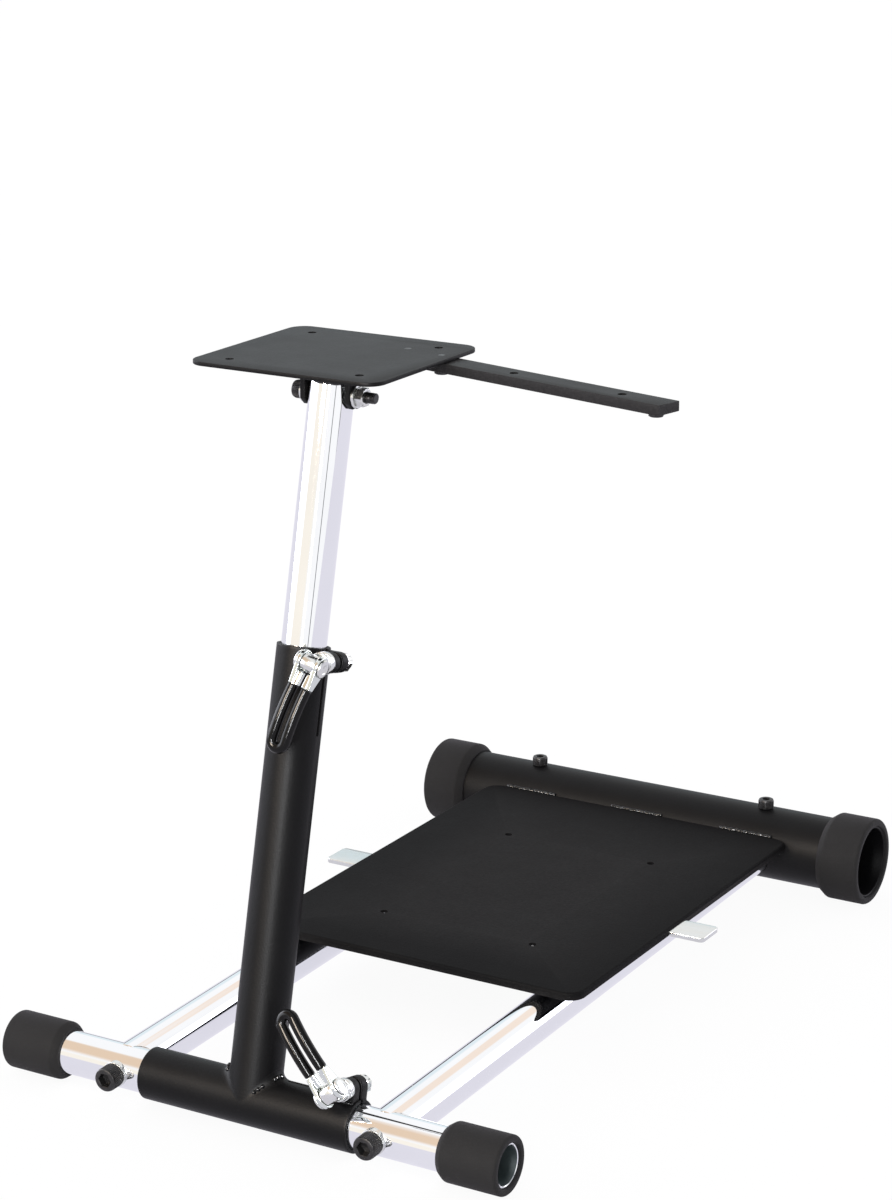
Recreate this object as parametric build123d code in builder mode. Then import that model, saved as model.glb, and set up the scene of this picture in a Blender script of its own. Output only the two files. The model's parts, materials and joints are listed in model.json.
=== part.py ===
from build123d import *
import os
from math import cos, radians, sin, sqrt

os.makedirs("parts", exist_ok=True)

# Folding stand for a racing wheel, a gear shifter and pedals, in millimetres.
# +Z is up, +Y points away from the player and +X to the player's right.
# The origin is on the floor under the middle of the stand's box.

# Overall layout
overall_width = 436.0
wheelbase = 648.0
lean_angle = 12.92
shifter_reach = 279.0

# Fits between pieces
seat_gap = 0.1
slide_gap = 0.3
pin_gap = 0.1
hole_gap = 0.2

# Chrome foot bar and its rubber caps
bar_radius = 16.85
bar_wall = 2.0
bar_height = 22.5
foot_cap_radius = 22.5
foot_cap_length = 51.0
foot_cap_chamfer = 5.0
cap_lip = 2.0
cap_round = 2.5
cap_chamfer_drop = 0.7

# Chrome rails and the screws that hold them to the foot bar
rail_radius = 16.85
rail_wall = 2.0
rail_spacing = 228.6
rail_front_height = 23.2
rail_rear_height = 34.0
rail_overhang = 4.0
rail_plug = 22.0
rail_screw_radius = 6.0
rail_screw_grip = 14.0
screw_head_radius = 9.0
screw_head_length = 12.0
screw_socket = 10.0
screw_socket_depth = 6.0
screw_head_chamfer = 1.0
saddle_radius = 10.0
saddle_proud = 1.6

# Black rear tube, its rubber caps and the rail clamp bolts
rear_radius = 31.75
rear_wall = 2.0
rear_height = 38.0
rear_cap_radius = 38.0
rear_cap_length = 40.0
rear_cap_chamfer = 6.0
rear_bolt_radius = 4.0
rear_bolt_head_radius = 6.5
rear_bolt_head_length = 8.0
rear_bolt_socket = 6.0
rear_bolt_socket_depth = 4.0
rear_bolt_chamfer = 0.8

# Pedal deck on the rails
deck_width = 300.0
deck_front = 226.0
deck_sheet = 2.5
deck_corner = 14.0
cross_bar_length = 362.0
cross_bar_width = 30.0
cross_bar_thickness = 4.0
cross_bar_back = 400.0
cross_bar_round = 4.0
pedal_hole_radius = 3.25
pedal_hole_across = 140.0
pedal_hole_along = 210.0
pedal_hole_mid = 405.0

# Column: a sleeve that turns on the foot bar and a tube welded upright on it
tube_radius = 20.0
sleeve_length = 184.0
column_length = 341.0
slit_width = 3.0
slit_length = 65.0

# Split clamps with cam levers
lug_radius = 7.75
lug_length = 8.5
upper_lug_reach = 26.3
upper_lug_drop = 9.3
lower_lug_reach = 27.5
lower_lug_inset = 9.5
clamp_bolt_radius = 4.0
clamp_bolt_end = 2.0
clamp_barrel_radius = 7.2
clamp_barrel_length = 11.2
cam_washer_radius = 8.6
cam_washer_thickness = 6.0
cam_seat_radius = 8.0
cam_seat_thickness = 4.0
clamp_nut_flats = 13.0
clamp_nut_thickness = 6.8
cam_radius = 8.4
cam_throw = 0.8
cheek_thickness = 3.5
clamp_pin_radius = 3.5
clamp_pin_head_radius = 7.0
clamp_pin_head = 2.0
lever_length = 70.0
lever_rise = 10.0
lever_bend_radius = 130.0
lever_arm_thickness = 5.5
lever_arm_round = 1.2
lever_rod_radius = 2.7
lever_grip_radius = 4.15
lever_grip_start = 18.5
lever_leg_spacing = 11.6
upper_lever_angle = 257.0
upper_lever_splay = 8.0
lower_lever_angle = 42.5
lower_lever_splay = 0.0

# Chrome post that slides in the column
post_radius = 16.85
post_wall = 2.0
post_bottom = 185.0
post_cover = 8.0

# Pivot at the top of the post and the bracket under the wheel plate
pivot_along = 526.0
pivot_radius = 4.0
pivot_head_radius = 6.5
pivot_head_length = 8.0
pivot_socket = 6.0
pivot_socket_depth = 4.0
pivot_head_chamfer = 0.8
pivot_bolt_end = 8.0
pivot_nut_flats = 13.0
pivot_nut_thickness = 6.8
pivot_washer_radius = 9.0
pivot_washer_thickness = 2.0
ear_thickness = 4.0
ear_depth = 20.0
ear_below = 9.0
ear_corner = 5.0
bracket_sheet = 3.0
bracket_bend = 2.5
bracket_clearance = 4.0

# Wheel plate
wheel_plate_width = 160.0
wheel_plate_depth = 150.0
wheel_plate_sheet = 3.0
wheel_plate_corner = 14.0
wheel_plate_front = 70.0
wheel_hole_radius = 3.25
wheel_hole_across = 110.0
wheel_hole_along = 110.0

# Shifter arm beside the wheel plate and the bolts that hold it
arm_angle = 12.6
arm_width = 22.0
arm_thickness = 7.4
arm_tail = 47.0
arm_bolt_across = 70.0
arm_bolt_back = 39.0
arm_bolt_radius = 3.0
arm_bolt_flats = 10.0
arm_bolt_head = 3.5
arm_bolt_pitch = 34.0
shifter_hole_radius = 3.25
shifter_hole_start = 70.0
shifter_hole_pitch = 100.0

# Places that follow from the sizes
column_x = (overall_width / 2 - shifter_reach) / 2
rail_rise = rail_rear_height - rail_front_height
rail_run = sqrt(wheelbase**2 + rail_rise**2)
rail_cos = wheelbase / rail_run
rail_sin = rail_rise / rail_run
rail_along = (0, rail_cos, rail_sin)
head_rim = screw_head_radius - screw_head_chamfer
front_reach = (bar_radius + saddle_proud + screw_head_length) * rail_cos + head_rim * rail_sin
bar_y = (front_reach - wheelbase - rear_cap_radius) / 2
rear_y = bar_y + wheelbase
right = Vector(1, 0, 0)
up = Vector(0, sin(radians(lean_angle)), cos(radians(lean_angle)))
front = Vector(0, -cos(radians(lean_angle)), sin(radians(lean_angle)))
bar_mid = Vector(column_x, bar_y, bar_height)
bar_end = Plane(origin=bar_mid, x_dir=(0, 1, 0), z_dir=(1, 0, 0))
rear_end = Plane(origin=(column_x, rear_y, rear_height), x_dir=(0, 1, 0), z_dir=(1, 0, 0))
rail_end = Plane(origin=(column_x, bar_y, rail_front_height), x_dir=(1, 0, 0), z_dir=rail_along)
column = Plane(origin=bar_mid, x_dir=(1, 0, 0), z_dir=tuple(up))
tube_bore = bar_radius + slide_gap
cross_bar_rear = cross_bar_back + cross_bar_width / 2
rail_top = rail_front_height + cross_bar_rear * rail_rise / wheelbase + rail_radius / rail_cos
cross_bar_bottom = rail_top + slide_gap
deck_bottom = cross_bar_bottom + cross_bar_thickness
deck_top = deck_bottom + deck_sheet
pivot = column.from_local_coords((0, 0, pivot_along))
post_top = pivot_along + post_cover
bracket_rise = sqrt(post_radius**2 + post_cover**2) + bracket_clearance
bracket_bottom = pivot.Z + bracket_rise
bracket_top = bracket_bottom + bracket_sheet
wheel_plate_y = pivot.Y - wheel_plate_front + wheel_plate_depth / 2
ear_inside = post_radius + slide_gap
ear_outside = ear_inside + ear_thickness


# Rubber cap over the end of a tube, open at the end, turned about the tube's axis
def rubber_cap(side, height, y, inner, outer, length, chamfer_size):
    end = overall_width / 2
    profile = Plane(origin=(column_x, y, height), x_dir=(side, 0, 0), z_dir=(0, -side, 0))
    with BuildPart() as cap:
        with BuildSketch(profile):
            with BuildLine():
                Polyline(
                    (end - cap_round, outer),
                    (end - length + chamfer_size, outer),
                    (end - length, outer - chamfer_size * cap_chamfer_drop),
                    (end - length, inner),
                    (end, inner),
                    (end, outer - cap_round),
                )
                RadiusArc((end, outer - cap_round), (end - cap_round, outer), -cap_round)
            make_face()
        revolve(axis=Axis((column_x, y, height), (1, 0, 0)))
    return cap.part


# Chrome bar across the front, drilled for the two rail screws
with BuildPart() as foot_bar:
    with BuildSketch(bar_end):
        Circle(bar_radius)
        Circle(bar_radius - bar_wall, mode=Mode.SUBTRACT)
    extrude(amount=overall_width / 2 - cap_lip, both=True)
    with BuildSketch(rail_end):
        with GridLocations(rail_spacing, 0, 2, 1):
            Circle(rail_screw_radius + hole_gap)
    extrude(amount=2 * bar_radius, both=True, mode=Mode.SUBTRACT)
foot_bar.part.label = "foot_bar"
export_step(foot_bar.part, "parts/foot_bar.step")

for side, name in ((-1, "front_left_cap"), (1, "front_right_cap")):
    foot_cap = rubber_cap(
        side, bar_height, bar_y, bar_radius + seat_gap, foot_cap_radius, foot_cap_length, foot_cap_chamfer
    )
    foot_cap.label = name
    export_step(foot_cap, f"parts/{name}.step")

# Rails: each one is saddle cut to the foot bar, with a threaded plug in its front end
rail_length = rail_run + rear_radius + rail_overhang
for side, word in ((-1, "left"), (1, "right")):
    rail_start = Plane(
        origin=(column_x + side * rail_spacing / 2, bar_y, rail_front_height),
        x_dir=(1, 0, 0),
        z_dir=rail_along,
    )
    with BuildPart() as rail:
        with BuildSketch(rail_start):
            Circle(rail_radius)
        extrude(amount=rail_length)
        with BuildSketch(rail_start.offset(bar_radius + rail_plug)):
            Circle(rail_radius - rail_wall)
        extrude(amount=rail_length, mode=Mode.SUBTRACT)
        with BuildSketch(bar_end):
            Circle(bar_radius + seat_gap)
        extrude(amount=overall_width / 2, both=True, mode=Mode.SUBTRACT)
        with BuildSketch(rail_start):
            Circle(rail_screw_radius + seat_gap)
        extrude(amount=bar_radius + rail_plug, mode=Mode.SUBTRACT)
    rail.part.label = f"{word}_rail"
    export_step(rail.part, f"parts/{word}_rail.step")

    screw_seat = Plane(
        origin=rail_start.from_local_coords((0, 0, -bar_radius - saddle_proud)),
        x_dir=(1, 0, 0),
        z_dir=(0, -rail_cos, -rail_sin),
    )
    with BuildPart() as saddle:
        with BuildSketch(screw_seat):
            Circle(saddle_radius)
            Circle(rail_screw_radius + hole_gap, mode=Mode.SUBTRACT)
        extrude(amount=-bar_radius - saddle_proud)
        with BuildSketch(bar_end):
            Circle(bar_radius + seat_gap)
        extrude(amount=overall_width / 2, both=True, mode=Mode.SUBTRACT)
    saddle.part.label = f"{word}_rail_washer"
    export_step(saddle.part, f"parts/{word}_rail_washer.step")

    with BuildPart() as rail_screw:
        with BuildSketch(screw_seat):
            Circle(rail_screw_radius)
        extrude(amount=-2 * bar_radius - saddle_proud - rail_screw_grip)
        with BuildSketch(screw_seat):
            Circle(screw_head_radius)
        extrude(amount=screw_head_length)
        rim = rail_screw.faces().sort_by(Axis.Y)[0].edges()
        chamfer(rim, screw_head_chamfer)
        with BuildSketch(screw_seat.offset(screw_head_length)):
            RegularPolygon(screw_socket / 2, 6, major_radius=False)
        extrude(amount=-screw_socket_depth, mode=Mode.SUBTRACT)
    rail_screw.part.label = f"{word}_rail_screw"
    export_step(rail_screw.part, f"parts/{word}_rail_screw.step")

# Rear tube: the rails pass through it and a bolt from above holds each of them
with BuildPart() as rear_tube:
    with BuildSketch(rear_end):
        Circle(rear_radius)
        Circle(rear_radius - rear_wall, mode=Mode.SUBTRACT)
    extrude(amount=overall_width / 2 - cap_lip, both=True)
    with BuildSketch(rail_end.offset(rail_run)):
        with GridLocations(rail_spacing, 0, 2, 1):
            Circle(rail_radius + slide_gap)
    extrude(amount=2 * rear_radius, both=True, mode=Mode.SUBTRACT)
    with BuildSketch(Plane(origin=(column_x, rear_y, rear_height))):
        with GridLocations(rail_spacing, 0, 2, 1):
            Circle(rear_bolt_radius + seat_gap)
    extrude(amount=2 * rear_radius, mode=Mode.SUBTRACT)
rear_tube.part.label = "rear_tube"
export_step(rear_tube.part, "parts/rear_tube.step")

rear_bolt_length = rear_height + rear_radius - rail_rear_height - rail_radius / rail_cos - slide_gap

for side, word in ((-1, "left"), (1, "right")):
    rear_cap = rubber_cap(
        side, rear_height, rear_y, rear_radius + seat_gap, rear_cap_radius, rear_cap_length, rear_cap_chamfer
    )
    rear_cap.label = f"rear_{word}_cap"
    export_step(rear_cap, f"parts/rear_{word}_cap.step")

    bolt_seat = Plane(origin=(column_x + side * rail_spacing / 2, rear_y, rear_height + rear_radius))
    with BuildPart() as rear_bolt:
        with BuildSketch(bolt_seat):
            Circle(rear_bolt_radius)
        extrude(amount=-rear_bolt_length)
        with BuildSketch(bolt_seat):
            Circle(rear_bolt_head_radius)
        extrude(amount=rear_bolt_head_length)
        chamfer(rear_bolt.faces().sort_by(Axis.Z)[-1].edges(), rear_bolt_chamfer)
        with BuildSketch(bolt_seat.offset(rear_bolt_head_length)):
            RegularPolygon(rear_bolt_socket / 2, 6, major_radius=False)
        extrude(amount=-rear_bolt_socket_depth, mode=Mode.SUBTRACT)
    rear_bolt.part.label = f"{word}_rear_bolt"
    export_step(rear_bolt.part, f"parts/{word}_rear_bolt.step")

# Pedal deck: sheet with turned-down edges, welded to the rear tube along its back edge
deck_y = bar_y + (deck_front + wheelbase - rear_radius / 2) / 2
deck_depth = wheelbase - rear_radius / 2 - deck_front
with BuildPart() as pedal_plate:
    with BuildSketch(Plane(origin=(column_x, deck_y, deck_top))):
        RectangleRounded(deck_width, deck_depth, deck_corner)
    extrude(amount=-deck_sheet)
    with BuildSketch(Plane(origin=(column_x, deck_y, deck_bottom))):
        RectangleRounded(deck_width, deck_depth, deck_corner)
        RectangleRounded(
            deck_width - 2 * deck_sheet, deck_depth - 2 * deck_sheet, deck_corner - deck_sheet, mode=Mode.SUBTRACT
        )
    extrude(amount=-cross_bar_thickness)
    with BuildSketch(Plane(origin=(column_x, bar_y + cross_bar_back, deck_bottom))):
        Rectangle(deck_width + 2 * deck_sheet, cross_bar_width + 2 * slide_gap)
    extrude(amount=-2 * cross_bar_thickness, mode=Mode.SUBTRACT)
    with BuildSketch(Plane(origin=(column_x, bar_y + pedal_hole_mid, deck_top))):
        with GridLocations(pedal_hole_across, pedal_hole_along, 2, 2):
            Circle(pedal_hole_radius)
    extrude(amount=-2 * deck_sheet, mode=Mode.SUBTRACT)
    with BuildSketch(rear_end):
        Circle(rear_radius + seat_gap)
    extrude(amount=overall_width / 2, both=True, mode=Mode.SUBTRACT)
pedal_plate.part.label = "pedal_plate"
export_step(pedal_plate.part, "parts/pedal_plate.step")

# Flat bar across the rails under the deck
with BuildPart() as cross_bar:
    with BuildSketch(Plane(origin=(column_x, bar_y + cross_bar_back, cross_bar_bottom))):
        RectangleRounded(cross_bar_length, cross_bar_width, cross_bar_round)
    extrude(amount=cross_bar_thickness)
cross_bar.part.label = "cross_bar"
export_step(cross_bar.part, "parts/cross_bar.step")

# Sleeve on the foot bar, slit along the top of its right end
with BuildPart() as column_sleeve:
    with BuildSketch(bar_end):
        Circle(tube_radius)
        Circle(tube_bore, mode=Mode.SUBTRACT)
    extrude(amount=sleeve_length / 2, both=True)
    with BuildSketch(column):
        with Locations((sleeve_length / 2, 0)):
            Rectangle(2 * slit_length, slit_width)
    extrude(amount=2 * tube_radius, mode=Mode.SUBTRACT)
column_sleeve.part.label = "column_sleeve"
export_step(column_sleeve.part, "parts/column_sleeve.step")

# Column tube: saddle cut to the sleeve and slit down its right side from the top
with BuildPart() as column_tube:
    with BuildSketch(column):
        Circle(tube_radius)
        Circle(post_radius + slide_gap, mode=Mode.SUBTRACT)
    extrude(amount=column_length)
    with BuildSketch(bar_end):
        Circle(tube_radius + seat_gap)
    extrude(amount=sleeve_length / 2, both=True, mode=Mode.SUBTRACT)
    with BuildSketch(column.offset(column_length)):
        with Locations((tube_radius, 0)):
            Rectangle(2 * tube_radius, slit_width)
    extrude(amount=-slit_length, mode=Mode.SUBTRACT)
column_tube.part.label = "column_tube"
export_step(column_tube.part, "parts/column_tube.step")

# Each clamp's plane lies on its bolt: X runs out from the tube, Z runs to the front
upper_eye = column.from_local_coords((upper_lug_reach, 0, column_length - upper_lug_drop))
lower_eye = column.from_local_coords((sleeve_length / 2 - lower_lug_inset, 0, lower_lug_reach))
upper_clamp = Plane(upper_eye, x_dir=right, z_dir=front)
lower_clamp = Plane(lower_eye, x_dir=up, z_dir=front)
clamps = (
    ("upper", upper_clamp, upper_lug_reach, upper_lever_angle, upper_lever_splay),
    ("lower", lower_clamp, lower_lug_reach, lower_lever_angle, lower_lever_splay),
)
lug_face = slit_width / 2 + lug_length
cam_face = lug_face + cam_washer_thickness + cam_seat_thickness
pin_height = cam_face + slide_gap + cam_radius + cam_throw
cheek_inside = clamp_barrel_length / 2 + slide_gap
cheek_outside = cheek_inside + cheek_thickness
for word, clamp, reach, lever_angle, lever_splay in clamps:
    tube_line = Plane(clamp.from_local_coords((-reach, 0, 0)), x_dir=clamp.x_dir, z_dir=clamp.y_dir)

    # Two round lugs stand on the tube, one on each side of the slit
    for side, place in ((1, "front"), (-1, "rear")):
        with BuildPart() as lug:
            with BuildSketch(clamp.offset(side * slit_width / 2)):
                Circle(lug_radius)
                with Locations((-reach / 2, 0)):
                    Rectangle(reach, 2 * lug_radius)
                Circle(clamp_bolt_radius + hole_gap, mode=Mode.SUBTRACT)
            extrude(amount=side * lug_length)
            with BuildSketch(tube_line):
                Circle(tube_radius + seat_gap)
            extrude(amount=2 * lug_radius, both=True, mode=Mode.SUBTRACT)
        lug.part.label = f"{word}_{place}_lug"
        export_step(lug.part, f"parts/{word}_{place}_lug.step")

    # Lever plane at the pin: X runs along the lever, Y along the pin
    lever_x = Vector(1, 0, 0).rotate(Axis.Z, lever_angle)
    lever_dir = clamp.x_dir * lever_x.X + clamp.y_dir * lever_x.Y
    lever = Plane(clamp.from_local_coords((0, 0, pin_height)), x_dir=lever_dir, z_dir=front)
    pin_line = Plane(lever.origin, x_dir=lever.x_dir, z_dir=lever.y_dir)
    nut_seat = clamp.offset(-lug_face)

    # Eye bolt through both lugs
    bolt_length = pin_height + lug_face + clamp_nut_thickness + clamp_bolt_end
    with BuildPart() as clamp_bolt:
        with BuildSketch(lever):
            Circle(clamp_bolt_radius)
        extrude(amount=-bolt_length)
        with BuildSketch(pin_line):
            Circle(clamp_barrel_radius)
        extrude(amount=clamp_barrel_length / 2, both=True)
        with BuildSketch(pin_line):
            Circle(clamp_pin_radius + seat_gap)
        extrude(amount=clamp_barrel_length, both=True, mode=Mode.SUBTRACT)
    clamp_bolt.part.label = f"{word}_clamp_bolt"
    export_step(clamp_bolt.part, f"parts/{word}_clamp_bolt.step")

    # Pin with a disc head at each end
    with BuildPart() as clamp_pin:
        with BuildSketch(pin_line):
            Circle(clamp_pin_radius)
        extrude(amount=cheek_outside + slide_gap, both=True)
        for end in (1, -1):
            with BuildSketch(pin_line.offset(end * (cheek_outside + slide_gap))):
                Circle(clamp_pin_head_radius)
            extrude(amount=end * clamp_pin_head)
    clamp_pin.part.label = f"{word}_clamp_pin"
    export_step(clamp_pin.part, f"parts/{word}_clamp_pin.step")

    # Stepped washer that the cam presses on, and the nut at the other end
    with BuildPart() as cam_washer:
        with BuildSketch(clamp.offset(lug_face)):
            Circle(cam_washer_radius)
        extrude(amount=cam_washer_thickness)
        with BuildSketch(clamp.offset(lug_face)):
            Circle(cam_seat_radius)
        extrude(amount=cam_washer_thickness + cam_seat_thickness)
        with BuildSketch(clamp.offset(lug_face)):
            Circle(clamp_bolt_radius + hole_gap)
        extrude(amount=cam_washer_thickness + cam_seat_thickness, mode=Mode.SUBTRACT)
    cam_washer.part.label = f"{word}_cam_washer"
    export_step(cam_washer.part, f"parts/{word}_cam_washer.step")

    with BuildPart() as clamp_nut:
        with BuildSketch(nut_seat):
            RegularPolygon(clamp_nut_flats / 2, 6, major_radius=False)
            Circle(clamp_bolt_radius + seat_gap, mode=Mode.SUBTRACT)
        extrude(amount=-clamp_nut_thickness)
    clamp_nut.part.label = f"{word}_clamp_nut"
    export_step(clamp_nut.part, f"parts/{word}_clamp_nut.step")

    # The lever's middle line runs straight out from the pin, bends back and turns round at the tip
    rise = radians(lever_rise + lever_splay)
    loop_x = lever.x_dir * cos(rise) + lever.z_dir * sin(rise)
    loop = Plane(lever.origin, x_dir=loop_x, z_dir=lever.z_dir * cos(rise) - lever.x_dir * sin(rise))
    leg = lever_leg_spacing / 2
    arm_start = clamp_barrel_radius + 2 * slide_gap
    arm_end = lever_grip_start - seat_gap
    rod_start = (arm_start + arm_end) / 2
    bend = (lever_length - leg - lever_grip_radius - lever_grip_start) / lever_bend_radius
    half_along = lever_grip_start + lever_bend_radius * sin(bend / 2)
    half_drop = lever_bend_radius * (cos(bend / 2) - 1)
    far_along = lever_grip_start + lever_bend_radius * sin(bend)
    far_drop = lever_bend_radius * (cos(bend) - 1)
    tip = loop.from_local_coords((far_along + leg * cos(bend), 0, far_drop - leg * sin(bend)))
    leg_starts = [loop.from_local_coords((lever_grip_start, side * leg, 0)) for side in (1, -1)]
    leg_halves = [loop.from_local_coords((half_along, side * leg, half_drop)) for side in (1, -1)]
    leg_ends = [loop.from_local_coords((far_along, side * leg, far_drop)) for side in (1, -1)]
    rod_ends = [loop.from_local_coords((rod_start, side * leg, 0)) for side in (1, -1)]

    # Forged yoke: two eccentric cheeks on the pin, an arm on each and a rod round the loop
    cheek_line = Plane(lever.origin, x_dir=loop.x_dir, z_dir=loop.y_dir)
    arm_line = Plane(loop.from_local_coords((arm_start, 0, 0)), x_dir=loop.y_dir, z_dir=loop.x_dir)
    arm_inside = leg - lever_grip_radius
    with BuildPart() as yoke:
        for side in (1, -1):
            with BuildSketch(pin_line.offset(side * cheek_inside)):
                with Locations((0, cam_throw)):
                    Circle(cam_radius)
            extrude(amount=side * cheek_thickness)
            with BuildSketch(cheek_line.offset(side * cheek_inside)):
                with BuildLine():
                    Polyline(
                        (0, cam_radius - cam_throw),
                        (arm_end, lever_arm_thickness / 2),
                        (arm_end, -lever_arm_thickness / 2),
                        (0, cam_throw - cam_radius),
                        close=True,
                    )
                make_face()
            extrude(amount=side * cheek_thickness)
            with BuildSketch(arm_line):
                with Locations((side * (arm_inside + cheek_outside) / 2, 0)):
                    RectangleRounded(cheek_outside - arm_inside, lever_arm_thickness, lever_arm_round)
            extrude(amount=arm_end - arm_start)
        with BuildSketch(pin_line):
            Circle(clamp_pin_radius + pin_gap)
        extrude(amount=cheek_outside, both=True, mode=Mode.SUBTRACT)
        with BuildLine() as rod_line:
            Line(rod_ends[0], leg_starts[0])
            ThreePointArc(leg_starts[0], leg_halves[0], leg_ends[0])
            ThreePointArc(leg_ends[0], tip, leg_ends[1])
            ThreePointArc(leg_ends[1], leg_halves[1], leg_starts[1])
            Line(leg_starts[1], rod_ends[1])
        with BuildSketch(Plane(rod_ends[0], z_dir=loop.x_dir)):
            Circle(lever_rod_radius)
        sweep(path=rod_line.wires()[0])
    yoke.part.label = f"{word}_lever_yoke"
    export_step(yoke.part, f"parts/{word}_lever_yoke.step")

    # Soft grip dipped over the loop
    with BuildPart() as grip:
        with BuildLine() as grip_line:
            ThreePointArc(leg_starts[0], leg_halves[0], leg_ends[0])
            ThreePointArc(leg_ends[0], tip, leg_ends[1])
            ThreePointArc(leg_ends[1], leg_halves[1], leg_starts[1])
        grip_end = Plane(leg_starts[0], z_dir=loop.x_dir)
        with BuildSketch(grip_end):
            Circle(lever_grip_radius)
        sweep(path=grip_line.wires()[0])
        with BuildSketch(grip_end):
            Circle(lever_rod_radius + seat_gap)
        sweep(path=grip_line.wires()[0], mode=Mode.SUBTRACT)
    grip.part.label = f"{word}_lever_grip"
    export_step(grip.part, f"parts/{word}_lever_grip.step")

# Chrome post, drilled across for the pivot bolt
pivot_line = Plane(origin=pivot, x_dir=(0, 1, 0), z_dir=(1, 0, 0))
with BuildPart() as post:
    with BuildSketch(column.offset(post_bottom)):
        Circle(post_radius)
        Circle(post_radius - post_wall, mode=Mode.SUBTRACT)
    extrude(amount=post_top - post_bottom)
    with BuildSketch(pivot_line):
        Circle(pivot_radius + seat_gap)
    extrude(amount=2 * post_radius, both=True, mode=Mode.SUBTRACT)
post.part.label = "post"
export_step(post.part, "parts/post.step")

# Pivot bolt with its head on the left, a washer beside each ear and a nut on the right
washer_seat = ear_outside + seat_gap
head_seat = washer_seat + pivot_washer_thickness
with BuildPart() as pivot_bolt:
    with BuildSketch(pivot_line.offset(-head_seat)):
        Circle(pivot_radius)
    extrude(amount=2 * head_seat + pivot_nut_thickness + pivot_bolt_end)
    with BuildSketch(pivot_line.offset(-head_seat)):
        Circle(pivot_head_radius)
    extrude(amount=-pivot_head_length)
    chamfer(pivot_bolt.faces().sort_by(Axis.X)[0].edges(), pivot_head_chamfer)
    with BuildSketch(pivot_line.offset(-head_seat - pivot_head_length)):
        RegularPolygon(pivot_socket / 2, 6, major_radius=False)
    extrude(amount=pivot_socket_depth, mode=Mode.SUBTRACT)
pivot_bolt.part.label = "pivot_bolt"
export_step(pivot_bolt.part, "parts/pivot_bolt.step")

with BuildPart() as pivot_nut:
    with BuildSketch(pivot_line.offset(head_seat)):
        RegularPolygon(pivot_nut_flats / 2, 6, major_radius=False)
        Circle(pivot_radius + seat_gap, mode=Mode.SUBTRACT)
    extrude(amount=pivot_nut_thickness)
pivot_nut.part.label = "pivot_nut"
export_step(pivot_nut.part, "parts/pivot_nut.step")

for side, word in ((-1, "left"), (1, "right")):
    with BuildPart() as pivot_washer:
        with BuildSketch(pivot_line.offset(side * washer_seat)):
            Circle(pivot_washer_radius)
            Circle(pivot_radius + seat_gap, mode=Mode.SUBTRACT)
        extrude(amount=side * pivot_washer_thickness)
    pivot_washer.part.label = f"{word}_pivot_washer"
    export_step(pivot_washer.part, f"parts/{word}_pivot_washer.step")

# Bracket bent from sheet: a web under the wheel plate and an ear on each side of the post
with BuildPart() as wheel_bracket:
    with BuildSketch(Plane(origin=(column_x, pivot.Y, bracket_bottom))):
        Rectangle(2 * ear_outside, ear_depth)
    extrude(amount=bracket_sheet)
    for side in (1, -1):
        with BuildSketch(pivot_line.offset(side * ear_inside)):
            with BuildLine():
                ear_side = ear_depth / 2
                Polyline(
                    (-ear_side, bracket_rise + bracket_sheet),
                    (-ear_side, ear_corner - ear_below),
                    (ear_corner - ear_side, -ear_below),
                    (ear_side - ear_corner, -ear_below),
                    (ear_side, ear_corner - ear_below),
                    (ear_side, bracket_rise + bracket_sheet),
                    close=True,
                )
            make_face()
            Circle(pivot_radius + pin_gap, mode=Mode.SUBTRACT)
        extrude(amount=side * ear_thickness)
    outer_bends = wheel_bracket.edges().filter_by(Axis.Y).group_by(Axis.Z)[-1]
    fillet(outer_bends, bracket_bend)
wheel_bracket.part.label = "wheel_bracket"
export_step(wheel_bracket.part, "parts/wheel_bracket.step")

# Flat plate that carries the wheel
plate_floor = Plane(origin=(column_x, wheel_plate_y, bracket_top))
arm = Plane(
    origin=(column_x + arm_bolt_across, pivot.Y + arm_bolt_back, bracket_top),
    x_dir=(cos(radians(arm_angle)), -sin(radians(arm_angle)), 0),
    z_dir=(0, 0, 1),
)
arm_bolt_places = ((-arm_bolt_pitch, 0), (0, 0))
with BuildPart() as wheel_plate:
    with BuildSketch(plate_floor):
        RectangleRounded(wheel_plate_width, wheel_plate_depth, wheel_plate_corner)
        with GridLocations(wheel_hole_across, wheel_hole_along, 2, 2):
            Circle(wheel_hole_radius, mode=Mode.SUBTRACT)
    extrude(amount=wheel_plate_sheet)
    with BuildSketch(arm):
        with Locations(*arm_bolt_places):
            Circle(arm_bolt_radius + seat_gap)
    extrude(amount=wheel_plate_sheet, mode=Mode.SUBTRACT)
wheel_plate.part.label = "wheel_plate"
export_step(wheel_plate.part, "parts/wheel_plate.step")

# Shifter arm: a flat bar under the wheel plate that runs out to the right and a little forward
corner_run = arm_width / 2 * sin(radians(arm_angle))
arm_run = (shifter_reach - arm_bolt_across - corner_run) / cos(radians(arm_angle))
shifter_holes = [shifter_hole_start, shifter_hole_start + shifter_hole_pitch]
with BuildPart() as shifter_arm:
    with BuildSketch(arm):
        with Locations(((arm_run - arm_tail) / 2, 0)):
            Rectangle(arm_run + arm_tail, arm_width)
        with Locations(*arm_bolt_places):
            Circle(arm_bolt_radius + seat_gap, mode=Mode.SUBTRACT)
        with Locations(*[(along, 0) for along in shifter_holes]):
            Circle(shifter_hole_radius, mode=Mode.SUBTRACT)
    extrude(amount=-arm_thickness)
shifter_arm.part.label = "shifter_arm"
export_step(shifter_arm.part, "parts/shifter_arm.step")

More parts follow.
